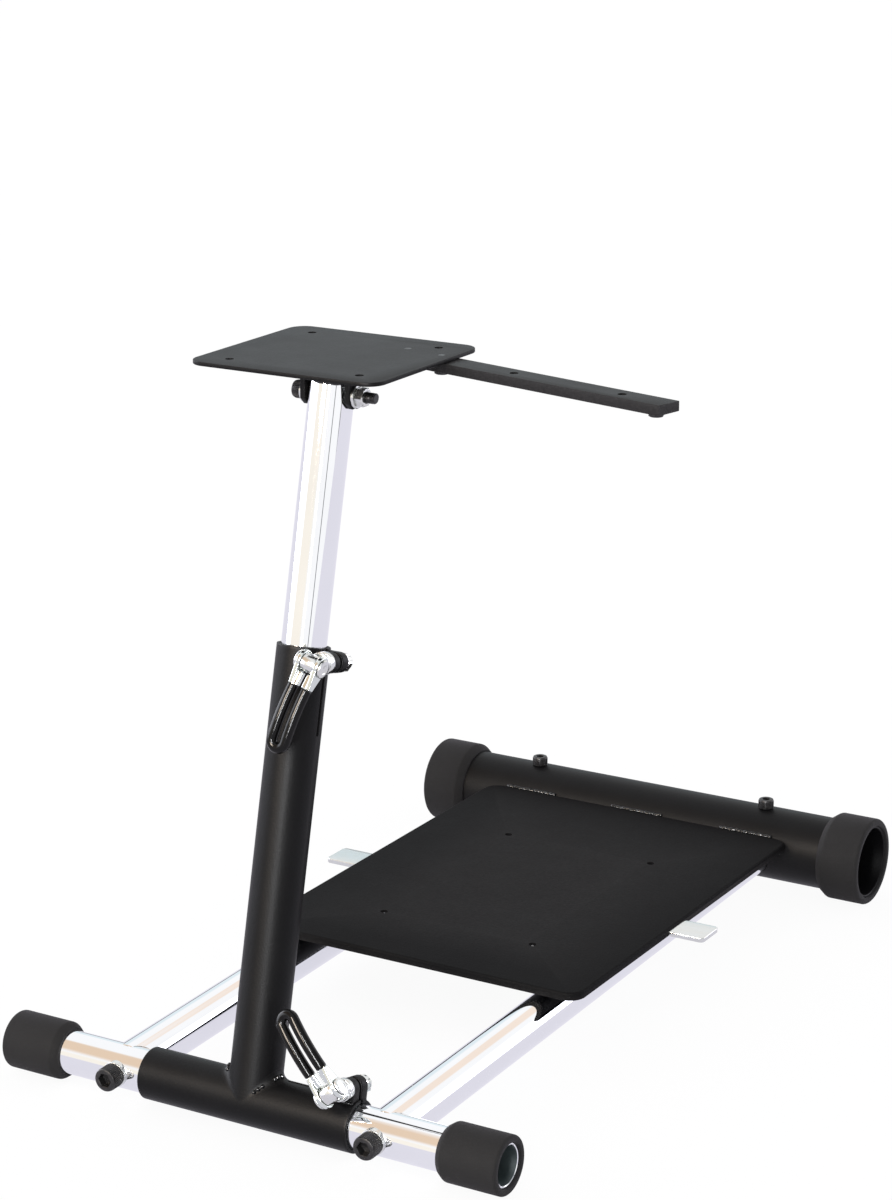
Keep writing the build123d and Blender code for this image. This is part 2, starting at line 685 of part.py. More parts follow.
# Bolts that hold the arm, with their heads underneath
bolt_grip = wheel_plate_sheet + arm_thickness
for place, word in zip(arm_bolt_places, ("inner", "outer")):
    with BuildPart() as arm_bolt:
        with BuildSketch(arm.offset(wheel_plate_sheet)):
            with Locations(place):
                Circle(arm_bolt_radius)
        extrude(amount=-bolt_grip)
        with BuildSketch(arm.offset(-arm_thickness)):
            with Locations(place):
                RegularPolygon(arm_bolt_flats / 2, 6, major_radius=False)
        extrude(amount=-arm_bolt_head)
    arm_bolt.part.label = f"{word}_arm_bolt"
    export_step(arm_bolt.part, f"parts/{word}_arm_bolt.step")
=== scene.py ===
"""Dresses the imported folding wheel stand: fine meshes, finishes, studio light and camera."""

import json
import logging
import math
from dataclasses import dataclass, field, replace
from enum import Enum
from typing import Any, Callable, Optional, Sequence

import bmesh
import bpy
from mathutils import Matrix, Vector


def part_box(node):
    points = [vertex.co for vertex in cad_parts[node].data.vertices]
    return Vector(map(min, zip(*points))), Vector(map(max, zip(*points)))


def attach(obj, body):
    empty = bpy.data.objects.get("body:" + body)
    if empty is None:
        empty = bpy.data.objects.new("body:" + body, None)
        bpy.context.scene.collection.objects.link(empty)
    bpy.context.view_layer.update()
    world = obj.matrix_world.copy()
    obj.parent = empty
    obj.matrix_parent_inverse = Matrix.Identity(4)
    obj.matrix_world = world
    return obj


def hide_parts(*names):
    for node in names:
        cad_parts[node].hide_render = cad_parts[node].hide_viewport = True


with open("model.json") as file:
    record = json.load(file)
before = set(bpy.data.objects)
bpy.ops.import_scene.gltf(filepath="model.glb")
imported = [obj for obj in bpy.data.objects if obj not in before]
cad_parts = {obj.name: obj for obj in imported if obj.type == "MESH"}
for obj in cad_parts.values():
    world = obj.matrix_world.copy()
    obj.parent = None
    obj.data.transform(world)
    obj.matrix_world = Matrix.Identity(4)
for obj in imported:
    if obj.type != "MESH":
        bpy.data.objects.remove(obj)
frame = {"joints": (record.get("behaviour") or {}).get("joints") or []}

LOG = logging.getLogger("wheel_stand")
MM = 0.001
SHARP_ANGLE = math.radians(35.0)
MERGE_GAP = 1e-4
FINE_STEPS = 144
STEPS = 96
HOLE_STEPS = 48
PLATE_STEPS = 10
RUN_STEPS = 12
STRAIGHT = 1e-3
LEAST_LEAN = 0.4
TUBE_EDGE = 0.5
EDGE_BEND = 0.3
LIP_EDGES = 4
LIP_SHARE = 0.4
BORE_START = 7
BORE_STRIPS = 3
HAIRLINE = 0.01
SMOOTHING = 0.5
BEAD_SIZE = 2.1
BEAD_GAP = 0.75
BEAD_VOXEL = 0.45
BEAD_ROUNDS = 2
RIPPLE_LEAST = (0.7, 0.75, 0.75)
RIPPLE_MOST = (1.0, 1.2, 1.15)
SWEPT_END = 0.78
THREAD_SUNK = 0.32
THREAD_RIDGE = 0.42
THREAD_STEPS = 40
DEGREES = 180.0 / math.pi
WHITE = (1.0, 1.0, 1.0, 1.0)
X = RIGHT = Vector((1.0, 0.0, 0.0))
Y = BACK = Vector((0.0, 1.0, 0.0))
Z = UPRIGHT = Vector((0.0, 0.0, 1.0))
ORIGIN = Vector()
IN_MM = Matrix.Scale(MM, 4)
SIDES = ((-1, "left"), (1, "right"))

Outline = list[tuple[float, float]]
Triple = tuple[float, float, float]
Tones = tuple[Triple, Triple]
Range = tuple[float, float]
Socket = bpy.types.NodeSocket


class Form(Enum):
    """Cross-section of a turned ring."""

    ROUND = "round"
    HEX = "hex"


class Cut(Enum):
    """How a second mesh changes the first one."""

    REMOVE = "DIFFERENCE"
    JOIN = "UNION"


class Clamp(Enum):
    """The two split clamps of the column."""

    UPPER = "upper"
    LOWER = "lower"


# Shapes in local millimetres


@dataclass
class Shape:
    """A mesh in the making: its points, its faces and each face's finish number."""

    points: list[Vector] = field(default_factory=list)
    faces: list[tuple[int, ...]] = field(default_factory=list)
    marks: list[int] = field(default_factory=list)

    def loft(self, rows: Sequence[Sequence[Vector]], closed_rows: bool, closed_run: bool,
             marked: Sequence[int] = (), caps: bool = False) -> "Shape":
        """Joins rows of points with quads.

        Args:
            rows: Rows of the same number of points.
            closed_rows: True if the last row joins the first one.
            closed_run: True if each row's last point joins its first one.
            marked: Points of a row whose strips take the second finish.
            caps: True if the first and last rows are filled.

        Returns:
            This shape.
        """
        base, width, count = len(self.points), len(rows[0]), len(rows)
        for row in rows:
            self.points.extend(Vector(point) for point in row)
        for i in range(count if closed_rows else count - 1):
            low, high = base + i * width, base + (i + 1) % count * width
            for j in range(width if closed_run else width - 1):
                n = (j + 1) % width
                self.faces.append((low + j, low + n, high + n, high + j))
                self.marks.append(int(j in marked))
        if caps:
            for low in (base, base + (count - 1) * width):
                self.faces.append(tuple(range(low, low + width)))
                self.marks.append(0)
        return self

    def add(self, other: "Shape", place: Matrix) -> None:
        """Takes in another shape.

        Args:
            other: The shape to take in.
            place: Where it goes, in this shape's frame.
        """
        base = len(self.points)
        self.points.extend(place @ point for point in other.points)
        self.faces.extend(tuple(base + i for i in face) for face in other.faces)
        self.marks.extend(other.marks)

    def mesh(self, name: str, place: Matrix) -> bpy.types.Mesh:
        """Makes a closed mesh with its faces outwards.

        Args:
            name: The mesh's name.
            place: From local millimetres to the row frame.

        Returns:
            The mesh, placed in the row frame.
        """
        data = bpy.data.meshes.new(name)
        data.from_pydata([tuple(point) for point in self.points], [], self.faces)
        data.polygons.foreach_set("material_index", self.marks)
        work = bmesh.new()
        work.from_mesh(data)
        bmesh.ops.remove_doubles(work, verts=work.verts, dist=MERGE_GAP)
        bmesh.ops.recalc_face_normals(work, faces=work.faces)
        work.transform(place)
        work.to_mesh(data)
        work.free()
        return data


def placed(origin: Vector, x_dir: Vector, z_dir: Vector) -> Matrix:
    """Gives the matrix from a local frame in millimetres to the row frame.

    Args:
        origin: The local origin, in metres.
        x_dir: The local X direction.
        z_dir: The local Z direction.

    Returns:
        The matrix, with its scale.
    """
    z_axis, x_axis = z_dir.normalized(), x_dir.normalized()
    turn = Matrix((x_axis, z_axis.cross(x_axis), z_axis)).transposed().to_4x4()
    return Matrix.Translation(origin) @ turn @ IN_MM


def framed(origin: Vector, x_dir: Vector, z_dir: Vector) -> Matrix:
    """Gives a turned frame inside a local frame, both in millimetres."""
    return Matrix.Translation(origin) @ placed(ORIGIN, x_dir, z_dir) @ Matrix.Scale(1 / MM, 4)


def hex_reach(apothem: float, angle: float) -> float:
    """Gives a hexagon's radius at an angle from its half width across flats."""
    sector = math.pi / 3
    return apothem / math.cos(angle % sector - sector / 2)


def polar(radius: float, angle: float, along: float) -> Vector:
    """Gives a point about the local Z axis."""
    return Vector((radius * math.cos(angle), radius * math.sin(angle), along))


def turned(profile: Sequence[tuple[Any, ...]], closed: bool = False, steps: int = STEPS) -> Shape:
    """Turns a profile about the local Z axis.

    Args:
        profile: Points as (along, radius), round unless a form follows.
        closed: True if the profile's last point joins its first one.
        steps: Number of points round the axis.

    Returns:
        The turned shape.
    """
    rows = []
    for step in range(steps):
        angle = 2 * math.pi * step / steps
        row = []
        for point in profile:
            along, radius, form = (*point, Form.ROUND)[:3]
            row.append(polar(hex_reach(radius, angle) if form is Form.HEX else radius, angle, along))
        rows.append(row)
    return Shape().loft(rows, True, closed)


def rod(radius: float, low: float, high: float, steps: int = HOLE_STEPS) -> Shape:
    """Makes a plain round rod along local Z."""
    return turned([(low, 0.0), (low, radius), (high, radius), (high, 0.0)], steps=steps)


def walled(outer: float, inner: float, start: Callable[[float, float], float], end: float,
           edge: float = TUBE_EDGE, steps: int = FINE_STEPS,
           plug: Optional[tuple[float, float]] = None) -> Shape:
    """Makes a tube along local Z whose start may be saddle cut, with its bore in the second finish.

    Args:
        outer: Outer radius.
        inner: Bore radius.
        start: Start of the wall at an angle and a radius.
        end: End of the wall.
        edge: Size of the broken edges.
        steps: Number of points round the axis.
        plug: End and bore of a plug in the tube's start.

    Returns:
        The tube.
    """
    hole = plug[1] if plug else inner
    step_in = [(plug[0], inner), (plug[0], hole)] if plug else []
    rows = []
    for step in range(steps):
        angle = 2 * math.pi * step / steps
        near, far = start(angle, outer), start(angle, hole)
        half = edge * EDGE_BEND
        lip = min(edge * LIP_EDGES, (end - near) * LIP_SHARE, (end - far) * LIP_SHARE)
        run = [
            (near + edge, outer), (near + lip, outer), (end - lip, outer), (end - edge, outer),
            (end - half, outer - half), (end, outer - edge), (end, inner + edge), (end - edge, inner),
            (end - lip, inner), *step_in, (far + lip, hole), (far + edge, hole), (far, hole + edge),
            (near, outer - edge),
        ]
        rows.append([polar(radius, angle, along) for along, radius in run])
    return Shape().loft(rows, True, True, range(BORE_START, BORE_START + BORE_STRIPS + len(step_in)))


def pipe(outer: float, inner: float, low: float, high: float, edge: float = TUBE_EDGE) -> Shape:
    """Makes a tube with square ends along local Z."""
    return walled(outer, inner, lambda angle, radius: low, high, edge)


def softened(corners: Sequence[tuple[float, float, float]], steps: int = 8) -> Outline:
    """Rounds the corners of a flat outline.

    Args:
        corners: Corners as (x, y, radius), in order.
        steps: Number of points on each rounded corner.

    Returns:
        The outline's points.
    """
    points: Outline = []
    for i, (x, y, radius) in enumerate(corners):
        here = Vector((x, y))
        before = (Vector(corners[i - 1][:2]) - here).normalized()
        after = (Vector(corners[(i + 1) % len(corners)][:2]) - here).normalized()
        opening = before.angle(after)
        if radius <= 0 or opening > math.pi - STRAIGHT:
            points.append((x, y))
            continue
        cut = radius / math.tan(opening / 2)
        middle = here + (before + after).normalized() * (radius / math.sin(opening / 2))
        first, last = here + before * cut - middle, here + after * cut - middle
        sweep = first.angle(last)
        for step in range(steps + 1):
            share = step / steps
            arm = first * math.sin((1 - share) * sweep) + last * math.sin(share * sweep)
            points.append(tuple(middle + arm / math.sin(sweep)))
    return points


def rectangle(x0: float, y0: float, x1: float, y1: float, corner: float, steps: int = 8) -> Outline:
    """Gives a rectangle with rounded corners, in anticlockwise order."""
    return softened([(x0, y0, corner), (x1, y0, corner), (x1, y1, corner), (x0, y1, corner)], steps)


def arc(centre: tuple[float, float], radius: float, first: float, last: float, steps: int = 8) -> Outline:
    """Gives points on a flat arc between two angles in degrees."""
    turns = [math.radians(first + (last - first) * step / steps) for step in range(steps + 1)]
    return [(centre[0] + radius * math.cos(t), centre[1] + radius * math.sin(t)) for t in turns]


def inset(outline: Outline, depth: float) -> Outline:
    """Moves an outline inwards by a small depth.

    Args:
        outline: The outline, in anticlockwise order.
        depth: How far its sides move.

    Returns:
        The moved outline.
    """
    moved: Outline = []
    count = len(outline)
    for i in range(count):
        before, here, after = (Vector(outline[(i + k) % count]) for k in (-1, 0, 1))
        one, two = (here - before).normalized(), (after - here).normalized()
        normal = (Vector((-one.y, one.x)) + Vector((-two.y, two.x))).normalized()
        lean = max(LEAST_LEAN, normal.dot(Vector((-one.y, one.x))))
        moved.append(tuple(here + normal * (depth / lean)))
    return moved


def stacked(outline: Outline, levels: Sequence[tuple[float, float]]) -> Shape:
    """Skins an outline through levels, each as (inset, height), and closes both ends."""
    rows = [[Vector((x, y, height)) for x, y in inset(outline, depth)] for depth, height in levels]
    return Shape().loft(rows, False, True, caps=True)


def slab(outline: Outline, low: float, high: float, edge: float, steps: int = 3) -> Shape:
    """Makes a flat plate with rounded edges.

    Args:
        outline: The plate's outline, in anticlockwise order.
        low: Height of its underside.
        high: Height of its top.
        edge: Radius of its edges.
        steps: Number of rows on each edge.

    Returns:
        The plate.
    """
    turns = [math.pi / 2 * step / steps for step in range(steps + 1)]
    under = [(edge * (1 - math.cos(t)), low + edge - edge * math.sin(t)) for t in reversed(turns)]
    over = [(edge * (1 - math.cos(t)), high - edge + edge * math.sin(t)) for t in turns]
    return stacked(outline, under + over)


def cutter(sides: tuple[float, float, float, float], corner: float, low: float, high: float) -> Shape:
    """Makes a sharp-edged block that cuts a slot."""
    return slab(rectangle(*sides, corner, 6), low, high, HAIRLINE, 1)


# Pieces


def linked(name: str, data: bpy.types.Mesh) -> bpy.types.Object:
    """Puts a mesh in the scene at the origin.

    Args:
        name: The piece's name.
        data: Its mesh.

    Returns:
        The piece.
    """
    piece = bpy.data.objects.new(name, data)
    bpy.context.scene.collection.objects.link(piece)
    return piece


def baked(piece: bpy.types.Object) -> bpy.types.Object:
    """Turns a piece's modifiers into a plain mesh.

    Args:
        piece: The piece with its modifiers.

    Returns:
        The same piece with the result as its mesh.
    """
    bpy.context.view_layer.update()
    graph = bpy.context.evaluated_depsgraph_get()
    result = bpy.data.meshes.new_from_object(piece.evaluated_get(graph))
    piece.modifiers.clear()
    spent = piece.data
    piece.data = result
    bpy.data.meshes.remove(spent)
    return piece


def combined(piece: bpy.types.Object, shape: Shape, place: Matrix, cut: Cut = Cut.REMOVE) -> None:
    """Removes a shape's space from a piece, or joins the shape to it.

    Args:
        piece: The piece that changes.
        shape: The shape that is used up.
        place: From the shape's frame to the row frame.
        cut: What to do with the shape.
    """
    tool = linked("tool", shape.mesh("tool", place))
    step = piece.modifiers.new("cut", "BOOLEAN")
    step.operation = cut.value
    step.solver = "EXACT"
    step.object = tool
    baked(piece)
    bpy.data.objects.remove(tool)


def drilled(piece: bpy.types.Object, place: Matrix, spots: Outline, radius: float, reach: float) -> None:
    """Drills round holes through a plate.

    Args:
        piece: The plate.
        place: The frame of the holes' places.
        spots: The holes' places, in millimetres.
        radius: The holes' radius.
        reach: How far the drill goes to either side.
    """
    holes = Shape()
    for x, y in spots:
        holes.add(rod(radius, -reach, reach), Matrix.Translation((x, y, 0.0)))
    combined(piece, holes, place)


def melted(piece: bpy.types.Object, voxel: float, rounds: int) -> bpy.types.Object:
    """Runs a piece's lumps together into one smooth skin.

    Args:
        piece: The piece, in local millimetres.
        voxel: Size of the new skin's faces.
        rounds: Number of smoothing rounds.

    Returns:
        The same piece.
    """
    melt = piece.modifiers.new("melt", "REMESH")
    melt.mode = "VOXEL"
    melt.voxel_size = voxel
    calm = piece.modifiers.new("calm", "SMOOTH")
    calm.factor = SMOOTHING
    calm.iterations = rounds
    return baked(piece)


def finished(piece: bpy.types.Object, body: str, finishes: Sequence["Finish"], *nodes: str,
             place: Optional[Matrix] = None) -> None:
    """Gives a piece its place, its finishes, its body and the nodes that it stands for.

    Args:
        piece: The piece.
        body: The body that carries it.
        finishes: Finishes in the order of the mesh's finish numbers.
        nodes: CAD nodes that it stands for.
        place: From local millimetres to the row frame, if it isn't there yet.
    """
    data, slot_name = piece.data, finishes[0].slot
    if place is not None:
        data.transform(place)
    marks = [min(face.material_index, len(finishes) - 1) for face in data.polygons]
    data.materials.clear()
    for finish in finishes:
        data.materials.append(finish.material())
    data.polygons.foreach_set("material_index", marks)
    data.polygons.foreach_set("use_smooth", [True] * len(marks))
    data.set_sharp_from_angle(angle=SHARP_ANGLE)
    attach(piece, body)
    if nodes:
        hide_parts(*nodes)
    LOG.info("%s: %d faces on %s", piece.name, len(marks), body)


def built(name: str, shape: Shape, place: Matrix, body: str, finishes: Sequence["Finish"],
          *nodes: str) -> None:
    """Makes and finishes a piece that needs no cutting.

    Args:
        name: The piece's name.
        shape: Its shape.
        place: From local millimetres to the row frame.
        body: The body that carries it.
        finishes: Finishes in the order of the shape's finish numbers.
        nodes: CAD nodes that it stands for.
    """
    finished(linked(name, shape.mesh(name, place)), body, finishes, *nodes)


# Node trees


@dataclass
class NodeKit:
    """Short calls for the nodes of any tree."""

    tree: bpy.types.NodeTree

    def add(self, kind: str, links: Optional[dict[Any, Any]] = None, **settings: Any) -> bpy.types.Node:
        """Adds a node.

        Args:
            kind: The node's type.
            links: Input socket to an output socket or to a plain value.
            settings: The node's own properties.

        Returns:
            The node.
        """
        made = self.tree.nodes.new(kind)
        for key, value in settings.items():
            setattr(made, key, value)
        for key, value in (links or {}).items():
            if isinstance(value, Socket):
                self.tree.links.new(value, made.inputs[key])
            else:
                made.inputs[key].default_value = value
        return made

    def out(self, kind: str, links: Optional[dict[Any, Any]] = None, **settings: Any) -> Socket:
        """Adds a node and gives its first output."""
        return self.add(kind, links, **settings).outputs[0]

    def calc(self, operation: str, one: Any, two: Any = 0.0, **settings: Any) -> Socket:
        """Works out a value from one or two others."""
        return self.out("ShaderNodeMath", {0: one, 1: two}, operation=operation, **settings)

    def mix(self, share: Socket, one: Any, two: Triple) -> Socket:
        """Mixes a colour or a pattern with a plain colour."""
        links = {"Factor": share, "A": one, "B": (*two, 1.0)}
        return self.add("ShaderNodeMix", links, data_type="RGBA").outputs["Result"]


class Tree(NodeKit):
    """A Geometry Nodes tree that is built in the script, with named inputs."""

    def __init__(self, name: str, **inputs: str) -> None:
        """Makes the tree with a path, named inputs, a finish and a result.

        Args:
            name: The tree's name.
            inputs: Kind of each named input.
        """
        super().__init__(bpy.data.node_groups.new(name, "GeometryNodeTree"))
        face = self.tree.interface
        face.new_socket("Path", in_out="INPUT", socket_type="NodeSocketGeometry")
        self.keys: dict[str, str] = {}
        for key, kind in {**inputs, "Finish": "Material"}.items():
            made = face.new_socket(key, in_out="INPUT", socket_type=f"NodeSocket{kind}")
            self.keys[key] = made.identifier
        face.new_socket("Result", in_out="OUTPUT", socket_type="NodeSocketGeometry")
        self.entry = self.add("NodeGroupInput").outputs

    def close(self, result: Socket) -> "Tree":
        """Ends the tree in realized instances and a material.

        Args:
            result: What the tree has made.

        Returns:
            This tree.
        """
        real = self.out("GeometryNodeRealizeInstances", {0: result})
        dressed = self.out("GeometryNodeSetMaterial", {"Geometry": real, "Material": self.entry["Finish"]})
        self.add("NodeGroupOutput", {0: dressed})
        return self

    def run(self, name: str, path: Sequence[Vector], finish: "Finish", **values: Any) -> bpy.types.Object:
        """Runs the tree on a path of points and keeps the result as a plain mesh.

        Args:
            name: The piece's name.
            path: The path's points, in millimetres.
            finish: The finish that the tree sets.
            values: A value for each named input.

        Returns:
            The piece, in local millimetres.
        """
        data = bpy.data.meshes.new(name)
        data.from_pydata([tuple(point) for point in path], [(i, i + 1) for i in range(len(path) - 1)], [])
        piece = linked(name, data)
        step = piece.modifiers.new("tree", "NODES")
        step.node_group = self.tree
        for key, value in {**values, "Finish": finish.material()}.items():
            step[self.keys[key]] = value
        return baked(piece)


def rib_tree() -> Tree:
    """Builds the tree that sets straight ribs round a screw head.

    Returns:
        The tree.
    """
    tree = Tree("head_ribs", Count="Int", Radius="Float", Length="Float", Width="Float", Start="Float")
    entry = tree.entry
    ring = tree.out("GeometryNodeMeshCircle", {"Vertices": entry["Count"], "Radius": entry["Radius"]})
    size = tree.out("ShaderNodeCombineXYZ", {0: entry["Width"], 1: entry["Width"], 2: entry["Length"]})
    rib = tree.out("GeometryNodeTransform", {
        "Geometry": tree.out("GeometryNodeMeshCube", {"Size": size}),
        "Translation": tree.out("ShaderNodeCombineXYZ", {2: entry["Start"]}),
        "Rotation": (0.0, 0.0, math.pi / 4),
    })
    place = tree.out("GeometryNodeInputPosition")
    turn = tree.out("FunctionNodeAlignRotationToVector", {"Vector": place}, axis="X")
    links = {"Points": ring, "Instance": rib, "Rotation": turn}
    return tree.close(tree.out("GeometryNodeInstanceOnPoints", links))


def bead_tree() -> Tree:
    """Builds the tree that lays the ripples of a weld bead along a path.

    Returns:
        The tree.
    """
    tree = Tree("weld_ripples", Spacing="Float", Size="Float", Seed="Int")
    entry = tree.entry
    path = tree.out("GeometryNodeMeshToCurve", {"Mesh": entry["Path"]})
    even = tree.out("GeometryNodeResampleCurve", {"Curve": path, "Length": entry["Spacing"]}, mode="LENGTH")
    drop = tree.out("GeometryNodeMeshIcoSphere", {"Radius": entry["Size"], "Subdivisions": 2})
    spread = {"Seed": entry["Seed"], 0: RIPPLE_LEAST, 1: RIPPLE_MOST}
    vary = tree.out("FunctionNodeRandomValue", spread, data_type="FLOAT_VECTOR")
    tangent = tree.out("GeometryNodeInputTangent")
    turn = tree.out("FunctionNodeAlignRotationToVector", {"Vector": tangent}, axis="X")
    links = {"Points": even, "Instance": drop, "Rotation": turn, "Scale": vary}
    return tree.close(tree.out("GeometryNodeInstanceOnPoints", links))


def sweep_tree() -> Tree:
    """Builds the tree that sweeps a round section along a path, with soft ends.

    Returns:
        The tree.
    """
    tree = Tree("round_sweep", Radius="Float", Sides="Int", Lip="Float")
    entry = tree.entry
    path = tree.out("GeometryNodeMeshToCurve", {"Mesh": entry["Path"]})
    run = tree.add("GeometryNodeSplineParameter").outputs["Length"]
    whole = tree.add("GeometryNodeSplineLength").outputs["Length"]
    near = tree.calc("MINIMUM", run, tree.calc("SUBTRACT", whole, run))
    inside = tree.calc("SUBTRACT", 1.0, tree.calc("DIVIDE", near, entry["Lip"]), use_clamp=True)
    bulge = tree.calc("SQRT", tree.calc("SUBTRACT", 1.0, tree.calc("POWER", inside, 2.0)))
    scale = tree.out("ShaderNodeMapRange", {"Value": bulge, "To Min": SWEPT_END, "To Max": 1.0})
    sized = tree.out("GeometryNodeSetCurveRadius", {"Curve": path, "Radius": scale})
    section = {"Resolution": entry["Sides"], "Radius": entry["Radius"]}
    ring = tree.out("GeometryNodeCurvePrimitiveCircle", section)
    skin = tree.add("GeometryNodeCurveToMesh", {"Curve": sized, "Profile Curve": ring, "Fill Caps": True})
    if "Scale" in skin.inputs:
        tree.tree.links.new(tree.out("GeometryNodeInputRadius"), skin.inputs["Scale"])
    return tree.close(skin.outputs[0])


def thread_tree() -> Tree:
    """Builds the tree that winds a screw thread about the Z axis.

    Returns:
        The tree.
    """
    tree = Tree("screw_thread", Radius="Float", Turns="Float", Length="Float", Ridge="Float")
    entry = tree.entry
    helix = tree.out("GeometryNodeCurveSpiral", {
        "Resolution": THREAD_STEPS, "Rotations": entry["Turns"], "Start Radius": entry["Radius"],
        "End Radius": entry["Radius"], "Height": entry["Length"],
    })
    ring = tree.out("GeometryNodeCurvePrimitiveCircle", {"Resolution": 4, "Radius": entry["Ridge"]})
    links = {"Curve": helix, "Profile Curve": ring, "Fill Caps": True}
    return tree.close(tree.out("GeometryNodeCurveToMesh", links))


@dataclass
class Trees:
    """The Geometry Nodes trees that the sub-assemblies share."""

    ribs: Tree = field(default_factory=rib_tree)
    beads: Tree = field(default_factory=bead_tree)
    sweep: Tree = field(default_factory=sweep_tree)
    thread: Tree = field(default_factory=thread_tree)


# Finishes


@dataclass
class Shading(NodeKit):
    """Short calls for a material's nodes, on Object coordinates in metres."""

    place: Optional[Socket] = None

    def where(self, stretch: Optional[Triple] = None) -> Socket:
        """Gives Object coordinates.

        Args:
            stretch: How far they are stretched along the axes, if they are.

        Returns:
            The coordinates.
        """
        if self.place is None:
            self.place = self.add("ShaderNodeTexCoord").outputs["Object"]
        if stretch is None:
            return self.place
        return self.out("ShaderNodeMapping", {"Vector": self.place, "Scale": stretch})

    def noise(self, scale: float, detail: float = 3.0, rough: float = 0.5,
              stretch: Optional[Triple] = None) -> Socket:
        """Gives a noise pattern of so many bumps to the metre."""
        links = {"Vector": self.where(stretch), "Scale": scale, "Detail": detail, "Roughness": rough}
        return self.out("ShaderNodeTexNoise", links)

    def cells(self, scale: float) -> Socket:
        """Gives a cell pattern of so many cells to the metre."""
        links = {"Vector": self.where(), "Scale": scale}
        return self.add("ShaderNodeTexVoronoi", links).outputs["Distance"]

    def span(self, value: Socket, low: float, high: float, first: float, last: float) -> Socket:
        """Spreads a value between two limits."""
        links = {"Value": value, "From Min": first, "From Max": last, "To Min": low, "To Max": high}
        return self.out("ShaderNodeMapRange", links)

    def blend(self, share: Socket, one: Triple, two: Triple) -> Socket:
        """Blends two colours by a pattern.

        Args:
            share: The pattern.
            one: The colour at 0.
            two: The colour at 1.

        Returns:
            The blended colour.
        """
        ramp = self.add("ShaderNodeValToRGB", {"Fac": share})
        for element, colour in zip(ramp.color_ramp.elements, (one, two)):
            element.color = (*colour, 1.0)
        return ramp.outputs[0]

    def skin(self, layers: Sequence[tuple[Socket, float, float]], values: dict[str, Any]) -> Socket:
        """Makes the Principled skin.

        Args:
            layers: Bump layers as (pattern, strength, depth in metres), from the lowest up.
            values: A pattern or a plain value for each of the skin's inputs.

        Returns:
            The skin's shader.
        """
        below: dict[str, Socket] = {}
        for pattern, strength, depth in layers:
            links = {"Height": pattern, "Strength": strength, "Distance": depth, **below}
            below = {"Normal": self.out("ShaderNodeBump", links)}
        return self.out("ShaderNodeBsdfPrincipled", {**values, **below})


class Finish:
    """A procedural finish that is built once and shared by its pieces."""

    made: dict[str, bpy.types.Material] = {}
    name: str = ""
    slot: str = ""

    def paint(self, nodes: Shading) -> Socket:
        """Builds the nodes and gives the shader."""
        raise NotImplementedError

    def material(self) -> bpy.types.Material:
        """Gives the finish's material, built at its first use.

        Returns:
            The shared material.
        """
        if self.name not in Finish.made:
            made = bpy.data.materials.new(self.name)
            made.use_nodes = True
            made.node_tree.nodes.clear()
            nodes = Shading(made.node_tree)
            nodes.add("ShaderNodeOutputMaterial", {0: self.paint(nodes)})
            Finish.made[self.name] = made
        return Finish.made[self.name]


@dataclass(frozen=True)
class ChromePlate(Finish):
    """Bright chrome plating with faint drawing lines and wiping marks."""

    name: str = "chrome_plate"
    slot: str = "chrome_tube"
    tint: Triple = (0.86, 0.87, 0.885)
    shade: float = 0.93
    rough: Range = (0.015, 0.06)

    def paint(self, nodes: Shading) -> Socket:
        """Builds the chrome's nodes.

        Args:
            nodes: Calls for the material's nodes.

        Returns:
            The chrome's shader.
        """
        haze = nodes.noise(38.0, 4.0, 0.6)
        worn = nodes.calc("MULTIPLY", haze, nodes.noise(900.0, 2.0, 0.55, (1.0, 0.12, 0.12)))
        darker = tuple(channel * self.shade for channel in self.tint)
        return nodes.skin([(nodes.noise(55.0, 2.0), 0.02, 0.0006)], {
            "Metallic": 1.0, "Base Color": nodes.blend(nodes.noise(16.0), darker, self.tint),
            "Roughness": nodes.span(worn, *self.rough, 0.12, 0.5),
        })


@dataclass(frozen=True)
class PowderCoat(Finish):
    """Satin black powder coat with orange peel, thin at its edges."""

    name: str = "powder_coat"
    peel: float = 0.22
    rough: Range = (0.39, 0.47)
    shine: float = 0.115
    slot: str = "black_coat"
    tones: Tones = ((0.0028, 0.0028, 0.0032), (0.0052, 0.005, 0.0055))
    bare: Triple = (0.06, 0.056, 0.056)

    def paint(self, nodes: Shading) -> Socket:
        """Builds the coat's nodes.

        Args:
            nodes: Calls for the material's nodes.

        Returns:
            The coat's shader.
        """
        cloud, grain = nodes.noise(24.0, 4.0, 0.6), nodes.noise(1500.0, 2.0)
        edge = nodes.add("ShaderNodeNewGeometry").outputs["Pointiness"]
        thin = nodes.span(edge, 0.0, 0.55, 0.53, 0.62)
        chips = nodes.calc("MULTIPLY", thin, nodes.noise(420.0, 4.0, 0.7))
        return nodes.skin([(nodes.noise(620.0, 2.0, 0.45), self.peel, 0.0005), (grain, 0.08, 0.0002)], {
            "Specular IOR Level": self.shine,
            "Base Color": nodes.mix(chips, nodes.blend(cloud, *self.tones), self.bare),
            "Roughness": nodes.span(nodes.calc("ADD", cloud, grain), *self.rough, 0.7, 1.3),
        })


